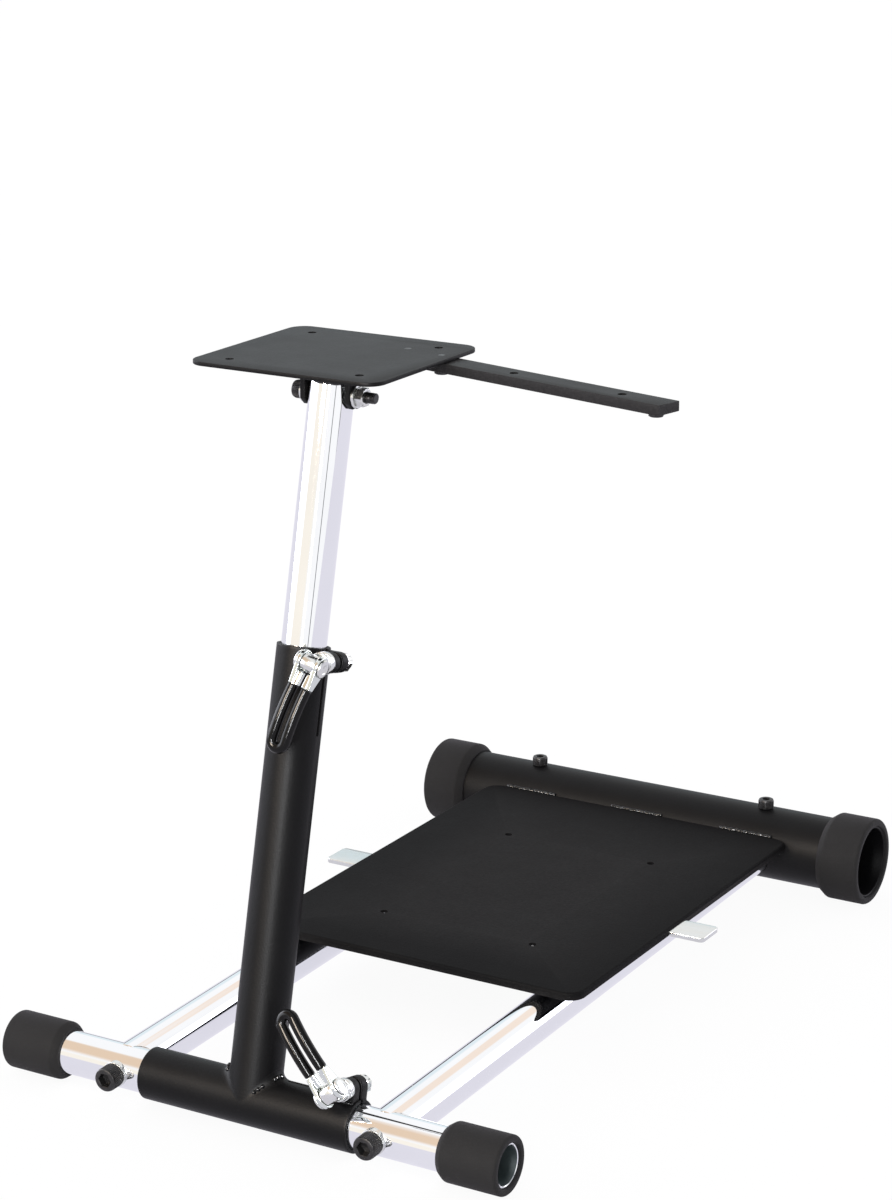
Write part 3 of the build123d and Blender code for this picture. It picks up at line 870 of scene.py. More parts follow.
@dataclass(frozen=True)
class RubberFoam(Finish):
    """Matte moulded rubber with a fine open grain and a little dust."""

    name: str = "moulded_rubber"
    slot: str = "rubber"
    tones: Tones = ((0.0132, 0.0128, 0.0132), (0.025, 0.0243, 0.0248))
    dust: Triple = (0.09, 0.086, 0.086)
    rough: Range = (0.74, 0.92)
    shine: float = 0.12
    sheen: float = 0.05
    sheen_rough: float = 0.4
    sheen_tint: Triple = (0.95, 0.88, 1.0)

    def paint(self, nodes: Shading) -> Socket:
        """Builds the rubber's nodes.

        Args:
            nodes: Calls for the material's nodes.

        Returns:
            The rubber's shader.
        """
        patch = nodes.noise(45.0, 4.0, 0.6)
        dust = nodes.span(nodes.noise(2600.0, 2.0, 0.6), 0.0, 0.35, 0.58, 0.8)
        grain, pores = nodes.noise(950.0, 4.0, 0.65), nodes.cells(1400.0)
        return nodes.skin([(grain, 0.35, 0.0005), (pores, 0.18, 0.0003)], {
            "Specular IOR Level": self.shine, "Sheen Weight": self.sheen,
            "Sheen Roughness": self.sheen_rough, "Sheen Tint": (*self.sheen_tint, 1.0),
            "Roughness": nodes.span(patch, *self.rough, 0.3, 0.7),
            "Base Color": nodes.mix(dust, nodes.blend(patch, *self.tones), self.dust),
        })


@dataclass(frozen=True)
class ZincPlate(Finish):
    """Bright zinc plate with turning marks and a faint yellow and blue cast."""

    name: str = "zinc_plate"
    slot: str = "zinc"
    tones: Tones = ((0.66, 0.65, 0.61), (0.68, 0.71, 0.72))
    rough: Range = (0.09, 0.26)

    def paint(self, nodes: Shading) -> Socket:
        """Builds the plate's nodes.

        Args:
            nodes: Calls for the material's nodes.

        Returns:
            The plate's shader.
        """
        streak = nodes.noise(2400.0, 2.0, 0.6, (1.0, 0.15, 1.0))
        return nodes.skin([(streak, 0.05, 0.0001), (nodes.noise(260.0), 0.08, 0.0003)], {
            "Metallic": 1.0, "Base Color": nodes.blend(nodes.noise(140.0), *self.tones),
            "Roughness": nodes.span(streak, *self.rough, 0.3, 0.75),
        })


@dataclass(frozen=True)
class BlackOxide(Finish):
    """Oiled black oxide on screws and bolts."""

    name: str = "black_oxide"
    slot: str = "black_steel"
    tones: Tones = ((0.012, 0.012, 0.013), (0.042, 0.04, 0.04))
    rough: Range = (0.26, 0.46)
    metal: float = 0.55

    def paint(self, nodes: Shading) -> Socket:
        """Builds the oxide's nodes.

        Args:
            nodes: Calls for the material's nodes.

        Returns:
            The oxide's shader.
        """
        cast = nodes.noise(300.0, 4.0, 0.6)
        return nodes.skin([(nodes.noise(1800.0, 2.0), 0.1, 0.0002)], {
            "Metallic": self.metal, "Base Color": nodes.blend(cast, *self.tones),
            "Roughness": nodes.span(cast, *self.rough, 0.3, 0.7),
        })


@dataclass(frozen=True)
class DippedVinyl(Finish):
    """Glossy black vinyl dip with the slow waves of a dipped skin."""

    name: str = "dipped_vinyl"
    slot: str = "vinyl"
    tones: Tones = ((0.0025, 0.0024, 0.0026), (0.006, 0.0056, 0.0056))
    rough: Range = (0.1, 0.18)
    shine: float = 0.18

    def paint(self, nodes: Shading) -> Socket:
        """Builds the vinyl's nodes.

        Args:
            nodes: Calls for the material's nodes.

        Returns:
            The vinyl's shader.
        """
        wave = nodes.noise(180.0, 2.0)
        return nodes.skin([(wave, 0.25, 0.0006), (nodes.noise(1400.0, 2.0), 0.05, 0.0002)], {
            "Specular IOR Level": self.shine, "Base Color": nodes.blend(wave, *self.tones),
            "Roughness": nodes.span(nodes.noise(500.0), *self.rough, 0.3, 0.7),
        })


@dataclass(frozen=True)
class RawBore(Finish):
    """Bare rolled steel inside a tube, with a dull oily film."""

    name: str = "raw_bore"
    tones: Tones = ((0.04, 0.056, 0.058), (0.075, 0.098, 0.1))
    rough: Range = (0.42, 0.66)
    metal: float = 0.25

    def paint(self, nodes: Shading) -> Socket:
        """Builds the bore's nodes.

        Args:
            nodes: Calls for the material's nodes.

        Returns:
            The bore's shader.
        """
        film = nodes.noise(90.0, 4.0, 0.6)
        return nodes.skin([(nodes.noise(700.0, 3.0, 0.6, (0.1, 1.0, 1.0)), 0.15, 0.0003)], {
            "Metallic": self.metal, "Base Color": nodes.blend(film, *self.tones),
            "Roughness": nodes.span(film, *self.rough, 0.3, 0.7),
        })


@dataclass(frozen=True)
class StudioFloor(Finish):
    """Plain pale floor that goes white for the camera, keeps the shadow and glows a painted lavender
    reflection tint for glossy rays.
    """

    name: str = "studio_floor"
    share: float = 0.945
    tones: Tones = ((0.9, 0.9, 0.915), (0.93, 0.93, 0.94))
    # Painted reflection: the lavender that the floor glows only for glossy rays, which the chrome shows as
    # its reflection of the floor.
    painted_reflection_tint: Triple = (0.86, 0.84, 0.93)

    def paint(self, nodes: Shading) -> Socket:
        """Builds the floor's nodes.

        Args:
            nodes: Calls for the material's nodes.

        Returns:
            The shader: matte for the light, white where the camera sees the floor, and a painted lavender
                reflection tint where glossy rays see it.
        """
        matte = nodes.out("ShaderNodeBsdfDiffuse", {"Color": nodes.blend(nodes.noise(0.8, 2.0), *self.tones)})
        rays = nodes.add("ShaderNodeLightPath").outputs
        # Glossy rays see the floor glow lavender instead of white: a painted reflection tint on the chrome.
        cast = nodes.mix(rays["Is Glossy Ray"], WHITE, self.painted_reflection_tint)
        glow = nodes.out("ShaderNodeEmission", {"Color": cast, "Strength": 1.0})
        seen = nodes.calc("MAXIMUM", rays["Is Camera Ray"], rays["Is Glossy Ray"])
        seen = nodes.calc("MAXIMUM", seen, rays["Is Transmission Ray"])
        share = nodes.calc("MULTIPLY", seen, self.share)
        return nodes.out("ShaderNodeMixShader", {0: share, 1: matte, 2: glow})


CHROME = ChromePlate()
FORGED = ChromePlate("forged_plate", "zinc", tint=(0.69, 0.725, 0.7))
COAT = PowderCoat()
DECK = PowderCoat("deck_coat", peel=0.34, rough=(0.64, 0.76), shine=0.06)
WELD = PowderCoat("weld_coat", peel=0.4, rough=(0.1, 0.22), shine=0.4)
RUBBER = RubberFoam()
ZINC = ZincPlate()
OXIDE = BlackOxide()
VINYL = DippedVinyl()
BORE = RawBore()


# Places


@dataclass(frozen=True)
class Layout:
    """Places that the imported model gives, in metres in the row frame."""

    bar: Vector
    rear: Vector
    along: Vector
    up: Vector
    front: Vector
    pivot: Vector
    pins: dict[Clamp, Vector]
    lever_dirs: dict[Clamp, Vector]

    @classmethod
    def from_frame(cls) -> "Layout":
        """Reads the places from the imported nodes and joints.

        Returns:
            The layout.
        """
        joints = {joint["name"]: joint for joint in frame["joints"]}
        up = -Vector(joints["post_slide"]["axis"]).normalized()
        along = Vector(joints["pedal_slide"]["axis"]).normalized()
        front = RIGHT.cross(up)
        pins, dirs = {}, {}
        for clamp in Clamp:
            joint = joints[f"{clamp.value}_lever_turn"]
            pins[clamp] = Vector(joint["pos_m"])
            dirs[clamp] = front.cross(Vector(joint["axis"])).normalized()
        bar, rear = ((low + high) / 2 for low, high in (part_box("foot_bar"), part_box("rear_tube")))
        return cls(bar, rear, along, up, front, Vector(joints["plate_tilt"]["pos_m"]), pins, dirs)

    def column(self) -> Matrix:
        """Gives the column's frame, with Z along the column."""
        return placed(self.bar, RIGHT, self.up)

    def across(self, origin: Vector, side: int = 1) -> Matrix:
        """Gives a frame at a point with Z to the right or to the left."""
        return placed(origin, BACK, RIGHT * side)


# Fasteners and caps


@dataclass(frozen=True)
class SocketScrew:
    """A cap screw with a ribbed head, a hex socket and a plain shank."""

    shank_radius: float
    shank_length: float
    head_radius: float
    head_length: float
    socket: float
    socket_depth: float
    ribs: int
    chamfer: float
    point: float = 0.5
    edge: float = 0.4
    mouth: float = 0.7
    cone: float = 1.0
    rib_width: float = 0.62
    rib_sunk: float = 0.12
    rib_start: float = 0.9
    rib_margin: float = 1.6

    def shape(self) -> Shape:
        """Turns the screw with its head seated at zero and pointing along Z.

        Returns:
            The screw's shape.
        """
        top, rim, key, slope = self.head_length, self.head_radius, self.socket / 2, self.chamfer
        end, stem, floor = -self.shank_length, self.shank_radius, self.head_length - self.socket_depth
        return turned([
            (end, 0.0), (end, stem - self.point), (end + self.point, stem), (0.0, stem),
            (0.0, rim - self.edge), (self.edge, rim),
            (top - slope, rim), (top - slope * 0.35, rim - slope * 0.3), (top, rim - slope),
            (top, key + self.mouth), (top, key + self.mouth / 2, Form.HEX), (top - self.edge, key, Form.HEX),
            (floor, key, Form.HEX), (floor, key * 0.85), (floor - self.cone, 0.0),
        ])

    def build(self, trees: Trees, node: str, place: Matrix, body: str) -> None:
        """Builds the screw and the grip ribs round its head.

        Args:
            trees: The shared trees.
            node: The CAD node that the screw stands for.
            place: From the screw's frame to the row frame.
            body: The body that carries it.
        """
        built(f"{node}_turned", self.shape(), place, body, [OXIDE], node)
        length = self.head_length - self.chamfer - self.rib_margin
        ribs = trees.ribs.run(
            f"{node}_ribs", [ORIGIN], OXIDE, Count=self.ribs, Radius=self.head_radius - self.rib_sunk,
            Length=length, Width=self.rib_width, Start=self.rib_start + length / 2,
        )
        finished(ribs, body, [OXIDE], place=place)


@dataclass(frozen=True)
class HexNut:
    """A hexagon nut with chamfered corners, along Z from zero."""

    flats: float = 13.0
    thickness: float = 6.8
    bore: float = 4.1
    edge: float = 0.5
    skew_share: float = 0.055
    face_share: float = 0.985
    corner_share: float = 1.05

    def shape(self) -> Shape:
        """Turns the nut.

        Returns:
            The nut's shape.
        """
        half, tall, skew = self.flats / 2, self.thickness, self.flats * self.skew_share
        face, corner = half * self.face_share, half * self.corner_share
        return turned([
            (0.0, self.bore), (0.0, face), (skew, corner, Form.HEX), (skew, half, Form.HEX),
            (tall - skew, half, Form.HEX), (tall - skew * 0.1, face), (tall, face - 0.3),
            (tall, self.bore + self.edge), (tall - self.edge, self.bore),
        ], closed=True)


@dataclass(frozen=True)
class EndCap:
    """A rubber cap with an open end, along Z."""

    radius: float = 22.5
    bore: float = 16.95
    length: float = 51.0
    chamfer: float = 5.0
    rounding: float = 2.5
    end: float = 218.0
    slope: float = 0.7
    band: float = 20.0
    mouth: float = 1.0

    def build(self, node: str, place: Matrix, body: str) -> None:
        """Turns the cap and puts it on its tube's end.

        Args:
            node: The CAD node that it stands for.
            place: From the tube's frame to the row frame.
            body: The body that carries it.
        """
        end, rim, bore = self.end, self.radius, self.bore
        start, neck = end - self.length, rim - self.chamfer * self.slope
        crest = start + self.chamfer
        corner = arc((end - self.rounding, rim - self.rounding), self.rounding, 90, 0)
        cap = turned([
            (start, neck - 0.5), (start + 0.6, neck + 0.25), (crest - 0.5, rim - 0.5),
            (crest + 0.4, rim - 0.12), (crest + 1.4, rim), (end - self.band, rim), *corner,
            (end, bore + 0.9), (end - 0.35, bore + 0.25), (end - self.mouth, bore), (start, bore),
        ], closed=True)
        built(f"{node}_rubber", cap, place, body, [RUBBER], node)


RAIL_SCREW = SocketScrew(
    shank_radius=6.0, shank_length=49.3, head_radius=9.0, head_length=12.0,
    socket=10.0, socket_depth=6.0, ribs=44, chamfer=1.0,
)
SMALL_SCREW = SocketScrew(
    shank_radius=4.0, shank_length=18.6, head_radius=6.5, head_length=8.0,
    socket=6.0, socket_depth=4.0, ribs=34, chamfer=0.8,
)


# Sub-assemblies


@dataclass
class SubAssembly:
    """The places and trees that the sub-assemblies share."""

    layout: Layout
    trees: Trees

    def weld(self, name: str, path: Sequence[Vector], place: Matrix, body: str, seed: int,
             size: float = BEAD_SIZE, gap: float = BEAD_GAP) -> None:
        """Lays a weld bead along a path and runs its ripples together.

        Args:
            name: The bead's name.
            path: The path's points, in local millimetres.
            place: From local millimetres to the row frame.
            body: The body that carries it.
            seed: Seed of the ripples' sizes.
            size: Radius of the bead.
            gap: Distance of the ripples, to their size.
        """
        bead = self.trees.beads.run(name, path, WELD, Spacing=size * gap, Size=size, Seed=seed)
        finished(melted(bead, BEAD_VOXEL, BEAD_ROUNDS), body, [WELD], place=place)

    def thread(self, name: str, place: Matrix, body: str, finish: Finish, radius: float, start: float,
               turns: float, length: float) -> None:
        """Winds the thread on a bolt's end.

        Args:
            name: The thread's name.
            place: From the bolt's frame to the row frame.
            body: The body that carries it.
            finish: The bolt's finish.
            radius: Radius of the bolt.
            start: Where the thread starts.
            turns: Number of its turns.
            length: Its length.
        """
        ridge = self.trees.thread.run(
            name, [ORIGIN], finish, Radius=radius - THREAD_SUNK, Turns=turns, Length=length,
            Ridge=THREAD_RIDGE,
        )
        finished(ridge, body, [finish], place=place @ Matrix.Translation((0.0, 0.0, start)))


@dataclass
class FootBar(SubAssembly):
    """The chrome foot bar and its two rubber caps."""

    radius: float = 16.85
    wall: float = 2.0
    length: float = 432.0
    cap: EndCap = EndCap()

    def build(self) -> None:
        """Builds the bar and its caps."""
        bar, half = self.layout.bar, self.length / 2
        tube = pipe(self.radius, self.radius - self.wall, -half, half)
        built("foot_bar_tube", tube, self.layout.across(bar), "base", [CHROME, BORE], "foot_bar")
        for side, word in SIDES:
            self.cap.build(f"front_{word}_cap", self.layout.across(bar, side), "base")


@dataclass
class Rails(SubAssembly):
    """The two chrome rails with their saddle washers and cap screws."""

    radius: float = 16.85
    wall: float = 2.0
    spacing: float = 228.6
    height: float = 23.2
    length: float = 683.84
    saddle: float = 16.95
    bar_radius: float = FootBar.radius
    plug_end: float = 38.85
    plug_bore: float = 6.1
    washer_radius: float = 10.0
    washer_bore: float = 6.2
    washer_proud: float = 1.6
    washer_edge: float = 0.4
    screw: SocketScrew = RAIL_SCREW

    def cope(self, rise: float, drop: float) -> float:
        """Gives half of the foot bar's width along the rail, at a drop from the rail's middle.

        Args:
            rise: Height of the rail's middle over the bar's.
            drop: Drop from the rail's middle.

        Returns:
            The half width.
        """
        lean = rise * self.layout.along.z
        level = drop**2 + rise**2 - 2 * rise * drop * self.layout.along.y
        return math.sqrt(max(0.0, lean**2 + self.saddle**2 - level))

    def build(self) -> None:
        """Builds both rails and what holds them."""
        bar, along = self.layout.bar, self.layout.along
        rise = self.height - bar.z / MM
        lean = rise * along.z
        seat = self.bar_radius + self.washer_proud
        tube = walled(
            self.radius, self.radius - self.wall,
            lambda angle, radius: self.cope(rise, radius * math.sin(angle)) - lean,
            self.length, plug=(self.plug_end, self.plug_bore),
        )
        ring = walled(
            self.washer_radius, self.washer_bore,
            lambda angle, radius: self.cope(rise, -radius * math.sin(angle)) + lean - seat,
            0.0, self.washer_edge, STEPS,
        )
        for side, word in SIDES:
            middle = Vector((bar.x + side * self.spacing / 2 * MM, bar.y, self.height * MM))
            place = placed(middle, RIGHT, along)
            built(f"{word}_rail_tube", tube, place, "base", [CHROME, BORE], f"{word}_rail")
            place = placed(middle - along * seat * MM, RIGHT, -along)
            built(f"{word}_rail_saddle", ring, place, "base", [ZINC], f"{word}_rail_washer")
            self.screw.build(self.trees, f"{word}_rail_screw", place, "base")


@dataclass
class PedalBase(SubAssembly):
    """The black rear tube, its caps and bolts, and the pedal deck on its cross bar."""

    radius: float = 31.75
    wall: float = 2.0
    length: float = 432.0
    tube_edge: float = 0.6
    cap: EndCap = EndCap(radius=38.0, bore=31.85, length=40.0, chamfer=6.0, rounding=3.2)
    rail_spacing: float = Rails.spacing
    rail_height: float = 34.0
    rail_hole: float = 17.15
    deck_sheet: float = 2.5
    deck_corner: float = 14.0
    deck_edge: float = 2.2
    edge_steps: int = 6
    deck_lip: float = 0.3
    deck_gap: float = 0.1
    hole_radius: float = 3.25
    hole_across: float = 140.0
    hole_along: float = 210.0
    hole_mid: float = 405.0
    notch_gap: float = 0.3
    bar_corner: float = 4.0
    bar_edge: float = 0.6
    weld_shares: tuple[float, ...] = (-0.36, 0.0, 0.36)
    weld_length: float = 48.0
    weld_back: float = 0.4
    weld_lift: float = 0.2
    screw: SocketScrew = SMALL_SCREW

    def rear_tube(self) -> None:
        """Builds the tube with the openings that the rails pass through, its caps and its bolts."""
        rear, half, reach = self.layout.rear, self.length / 2, self.radius * 2
        tube = pipe(self.radius, self.radius - self.wall, -half, half, self.tube_edge)
        piece = linked("rear_tube_coated", tube.mesh("rear_tube", self.layout.across(rear)))
        drill = rod(self.rail_hole, -reach, reach, STEPS)
        offsets = {side: RIGHT * side * self.rail_spacing / 2 for side, _ in SIDES}
        for offset in offsets.values():
            middle = rear + offset * MM
            middle.z = self.rail_height * MM
            combined(piece, drill, placed(middle, RIGHT, self.layout.along))
        finished(piece, "pedal_base", [COAT], "rear_tube")
        for side, word in SIDES:
            self.cap.build(f"rear_{word}_cap", self.layout.across(rear, side), "pedal_base")
            seat = placed(rear + (offsets[side] + UPRIGHT * self.radius) * MM, RIGHT, UPRIGHT)
            self.screw.build(self.trees, f"{word}_rear_bolt", seat, "pedal_base")

    def deck(self) -> None:
        """Builds the deck as a shallow pan, notched over the cross bar and welded to the tube."""
        low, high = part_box("pedal_plate")
        middle = Vector(((low.x + high.x) / 2, (low.y + high.y) / 2, high.z))
        wide, deep, tall = (high - low) / MM
        place = placed(middle, RIGHT, UPRIGHT)
        edge, lip, sheet = self.deck_edge, self.deck_lip, self.deck_sheet
        turns = [math.pi / 2 * (1 - step / self.edge_steps) for step in range(self.edge_steps + 1)]
        levels = [(edge * (1 - math.cos(turn)), edge * (math.sin(turn) - 1)) for turn in turns]
        levels += [(0.0, lip - tall), (lip, -tall), (sheet - lip, -tall)]
        levels += [(sheet, lip - tall), (sheet, -sheet)]
        outline = rectangle(-wide / 2, -deep / 2, wide / 2, deep / 2, self.deck_corner, PLATE_STEPS)
        piece = linked("pedal_plate_pan", stacked(outline, levels).mesh("deck", place))
        front, back = ((corner.y - middle.y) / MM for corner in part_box("cross_bar"))
        notch = (-wide, front - self.notch_gap, wide, back + self.notch_gap)
        combined(piece, cutter(notch, 0.0, -tall * 2, -sheet), place)
        hole_y = (self.layout.bar.y - middle.y) / MM + self.hole_mid
        half_x, half_y = self.hole_across / 2, self.hole_along / 2
        spots = [(x, hole_y + y) for x in (-half_x, half_x) for y in (-half_y, half_y)]
        drilled(piece, place, spots, self.hole_radius, tall)
        drum = rod(self.radius + self.deck_gap, -self.length / 2, self.length / 2, FINE_STEPS)
        combined(piece, drum, self.layout.across(self.layout.rear))
        finished(piece, "pedal_base", [DECK], "pedal_plate")
        self.deck_welds(high.z / MM, wide)

    def deck_welds(self, top: float, wide: float) -> None:
        """Lays weld runs where the deck meets the tube.

        Args:
            top: Height of the deck.
            wide: Width of the deck.
        """
        rear = self.layout.rear / MM
        line_y = rear.y - math.sqrt(self.radius**2 - (top - rear.z) ** 2)
        for number, share in enumerate(self.weld_shares):
            first = rear.x + share * wide - self.weld_length / 2
            spots = [first + self.weld_length / RUN_STEPS * i for i in range(RUN_STEPS + 1)]
            path = [Vector((x, line_y - self.weld_back, top + self.weld_lift)) for x in spots]
            self.weld(f"deck_weld_{number}", path, IN_MM, "pedal_base", number)

    def cross_bar(self) -> None:
        """Builds the flat bar that carries the deck on the rails."""
        low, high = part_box("cross_bar")
        outline = rectangle(low.x / MM, low.y / MM, high.x / MM, high.y / MM, self.bar_corner, 6)
        bar = slab(outline, low.z / MM, high.z / MM, self.bar_edge)
        built("cross_bar_flat", bar, IN_MM, "pedal_base", [ZINC], "cross_bar")

    def build(self) -> None:
        """Builds the tube, the deck and the cross bar."""
        self.rear_tube()
        self.deck()
        self.cross_bar()


@dataclass
class Column(SubAssembly):
    """The sleeve on the foot bar and the tube that stands welded on it."""

    radius: float = 20.0
    bore: float = 17.15
    sleeve_length: float = 184.0
    length: float = 341.0
    slit_width: float = 3.0
    slit_length: float = 65.0
    slit_corner: float = 1.4
    fillet_radius: float = 8.0
    fillet_sunk: float = 0.6
    fillet_turn: float = 3.0
    fillet_steps: int = 28
    lumps: tuple[tuple[float, float, int], ...] = ((-64.0, -50.0, 1), (-26.0, -2.0, 1), (-30.0, -12.0, -1))
    lump_gap: float = 1.3
    lump_seed: int = 7

    def fillet(self, side: int, turn: float) -> list[Vector]:
        """Rolls a ball into the corner between the tubes.

        Args:
            side: 1 for the right half of the joint and -1 for the left half.
            turn: Angle round the column from the sleeve's own direction.

        Returns:
            The fillet's section, first its skin from the column to the sleeve and then its sunk corner.
        """
        ball, inside = self.fillet_radius, self.radius - self.fillet_sunk
        out, across = side * math.cos(turn), math.sin(turn)
        centre = Vector((out, across, abs(out))) * (self.radius + ball)
        first, last = Vector((-out, -across, 0.0)), Vector((0.0, -across, -abs(out)))
        skin = [centre + first.slerp(last, step / RUN_STEPS) * ball for step in range(RUN_STEPS + 1)]
        rim = Vector((out * inside, across * inside, centre.z))
        foot = Vector((centre.x, across * inside, abs(out) * inside))
        return skin + [foot, Vector((out, across, abs(out))) * inside, rim]

    def tubes(self, place: Matrix) -> None:
        """Builds the sleeve and the tube, each with its slit.

        Args:
            place: The column's frame.
        """
        half, slit, reach = self.sleeve_length / 2, self.slit_width / 2, 2 * self.radius
        tube = pipe(self.radius, self.bore, -half, half)
        sleeve = linked("column_sleeve_coated", tube.mesh("sleeve", self.layout.across(self.layout.bar)))
        gap = (half - self.slit_length, -slit, half + reach, slit)
        combined(sleeve, cutter(gap, self.slit_corner, 0.0, reach), place)
        finished(sleeve, "column", [COAT, BORE], "column_sleeve")
        tube = walled(
            self.radius, self.bore,
            lambda angle, radius: math.sqrt(max(0.0, self.radius**2 - (radius * math.sin(angle)) ** 2)),
            self.length,
        )
        upright = linked("column_tube_coated", tube.mesh("column", place))
        gap = (-slit, self.length - self.slit_length, slit, self.length + reach)
        combined(upright, cutter(gap, self.slit_corner, 0.0, reach), place @ framed(ORIGIN, Y, X))
        finished(upright, "column", [COAT, BORE], "column_tube")

    def build(self) -> None:
        """Builds the sleeve, the tube and the weld between them."""
        place = self.layout.column()
        self.tubes(place)
        for side, word in SIDES:
            steps = range(-self.fillet_steps, self.fillet_steps + 1)
            rows = [self.fillet(side, math.radians(self.fillet_turn * step)) for step in steps]
            seam = Shape().loft(rows, False, True, caps=True)
            built(f"column_{word}_fillet", seam, place, "column", [COAT])
        for number, (first, last, side) in enumerate(self.lumps):
            turns = [math.radians(first + (last - first) * i / RUN_STEPS) for i in range(RUN_STEPS + 1)]
            path = [self.fillet(side, turn)[RUN_STEPS // 2] for turn in turns]
            seed = number + self.lump_seed
            self.weld(f"column_weld_{number}", path, place, "column", seed, gap=self.lump_gap)


@dataclass
class CamClamp(SubAssembly):
    """One split clamp: two lugs, the eye bolt with its pin, washer and nut, and the cam lever."""

    clamp: Clamp
    reach: float
    lift: float
    tube_radius: float = Column.radius
    lug_root: float = 17.25
    lug_radius: float = 7.75
    lug_near: float = 1.5
    lug_face: float = 10.0
    lug_edge: float = 0.9
    lug_steps: int = 32
    toe_size: float = 1.3
    toe_out: float = 0.4
    toe_margin: float = 1.0
    toe_steps: int = 8
    toe_seed: int = 11
    bolt_radius: float = 4.0
    bolt_end: float = 2.0
    thread_depth: float = 0.25
    thread_lead: float = 0.45
    thread_turns: float = 3.0
    thread_length: float = 3.2
    washer_radius: float = 8.6
    washer_thickness: float = 6.0
    seat_radius: float = 8.0
    seat_thickness: float = 4.0
    washer_bore: float = 4.2
    nut: HexNut = HexNut()
    pin_height: float = 29.5
    barrel_radius: float = 7.2
    barrel_half: float = 5.6
    pin_radius: float = 3.5
    pin_head_radius: float = 7.0
    pin_head: float = 2.0
    pin_gap: float = 0.3
    cheek_inside: float = 5.9
    cheek_outside: float = 9.4
    cheek_edge: float = 0.4
    cam_radius: float = 8.4
    cam_throw: float = 0.8
    arm_start: float = 7.8
    arm_thickness: float = 5.5
    arm_corner: float = 1.3
    arm_edge: float = 0.5
    arm_gap: float = 0.05
    wedge_short: float = 0.8
    wedge_corner: float = 0.4
    wedge_edge: float = 0.3
    stub_back: float = 4.0
    stub_ahead: float = 3.0
    yoke_voxel: float = 0.35
    yoke_rounds: int = 5
    leg: float = 5.8
    grip_start: float = 18.5
    grip_radius: float = 4.15
    grip_lip: float = 1.1
    grip_sides: int = 40
    lip_marks: tuple[float, ...] = (0.25, 0.5, 0.8)
    bend_steps: int = 32
    tip_steps: int = 24
    rod_radius: float = 2.7
    bend_radius: float = 130.0
    lever_length: float = 70.0

    def node(self, word: str) -> str:
        """Gives a CAD node's name in this clamp."""
        return f"{self.clamp.value}_{word}"

    def place(self) -> Matrix:
        """Gives the clamp's frame.

        Returns:
            The frame, with X away from the tube and Z to the front along the bolt.
        """
        out = RIGHT if self.clamp is Clamp.UPPER else self.layout.up
        eye = self.layout.pins[self.clamp] - self.layout.front * self.pin_height * MM
        return placed(eye, out, self.layout.front)

    def loop(self) -> Matrix:
        """Gives the lever's frame.

        Returns:
            The frame, with X along the lever's arms and Y along the pin.
        """
        turn = math.radians(self.lift)
        along, front = self.layout.lever_dirs[self.clamp], self.layout.front
        rising = along * math.cos(turn) + front * math.sin(turn)
        return placed(self.layout.pins[self.clamp], rising, front * math.cos(turn) - along * math.sin(turn))

    def zinced(self, word: str, suffix: str, shape: Shape, place: Matrix) -> None:
        """Builds one zinc-plated piece of the clamp."""
        node = self.node(word)
        built(f"{node}_{suffix}", shape, place, "column", [ZINC], node)

    def lugs(self) -> None:
        """Builds the two lugs, one on each side of the slit, with their weld toes."""
        back, rim, place = self.lug_root - self.reach, self.lug_radius, self.place()
        outline = [(back, -rim)] + arc((0.0, 0.0), rim, -90, 90, self.lug_steps) + [(back, rim)]
        foot = math.sqrt(self.tube_radius**2 - self.lug_face**2) - self.reach
        for sign, word in ((1, "front_lug"), (-1, "rear_lug")):
            node = self.node(word)
            low, high = sorted((sign * self.lug_near, sign * self.lug_face))
            built(f"{node}_block", slab(outline, low, high, self.lug_edge, 4), place, "column", [COAT], node)
            run = 2 * (rim - self.toe_margin) / self.toe_steps
            heights = [self.toe_margin - rim + i * run for i in range(self.toe_steps + 1)]
            path = [Vector((foot + self.toe_out, height, self.lug_face * sign)) for height in heights]
            self.weld(f"{node}_weld", path, place, "column", self.toe_seed + sign, self.toe_size)

    def washer(self) -> Shape:
        """Turns the stepped washer under the cam.

        Returns:
            The washer's shape.
        """
        face, step = self.lug_face, self.lug_face + self.washer_thickness
        top, bore = step + self.seat_thickness, self.washer_bore
        rim, seat = self.washer_radius, self.seat_radius
        return turned([
            (face, bore), (face, rim - 0.6), (face + 0.2, rim - 0.15), (face + 0.6, rim), (step - 0.9, rim),
            (step - 0.35, rim - 0.2), (step, rim - 0.8), (step, seat - 0.5), (step + 0.3, seat - 0.5),
            (step + 0.6, seat), (top - 0.7, seat), (top - 0.2, seat - 0.2), (top, seat - 0.7), (top, bore),
        ], closed=True)

    def eye_bolt(self, place: Matrix, across: Matrix) -> None:
        """Builds the bolt with its eye's barrel and its thread.

        Args:
            place: The clamp's frame.
            across: The pin's frame, with Z along the pin.
        """
        face, stem, core = self.lug_face, self.bolt_radius, self.bolt_radius - self.thread_depth
        end = -(face + self.nut.thickness + self.bolt_end)
        shank = turned([
            (end, 0.0), (end, stem - 0.8), (end + 0.7, core), (-face, core), (-face, stem),
            (self.pin_height, stem), (self.pin_height, 0.0),
        ], steps=HOLE_STEPS)
        node = self.node("clamp_bolt")
        bolt = linked(f"{node}_eye", shank.mesh("shank", place))
        half, rim = self.barrel_half, self.barrel_radius
        drum = turned([
            (-half, 0.0), (-half, rim - 0.9), (0.3 - half, rim - 0.3), (0.9 - half, rim), (half - 0.9, rim),
            (half - 0.3, rim - 0.3), (half, rim - 0.9), (half, 0.0),
        ])
        combined(bolt, drum, across, Cut.JOIN)
        finished(bolt, "column", [ZINC], node)
        start = end + self.thread_lead
        self.thread(f"{node}_thread", place, "column", ZINC, stem, start,
                    self.thread_turns, self.thread_length)

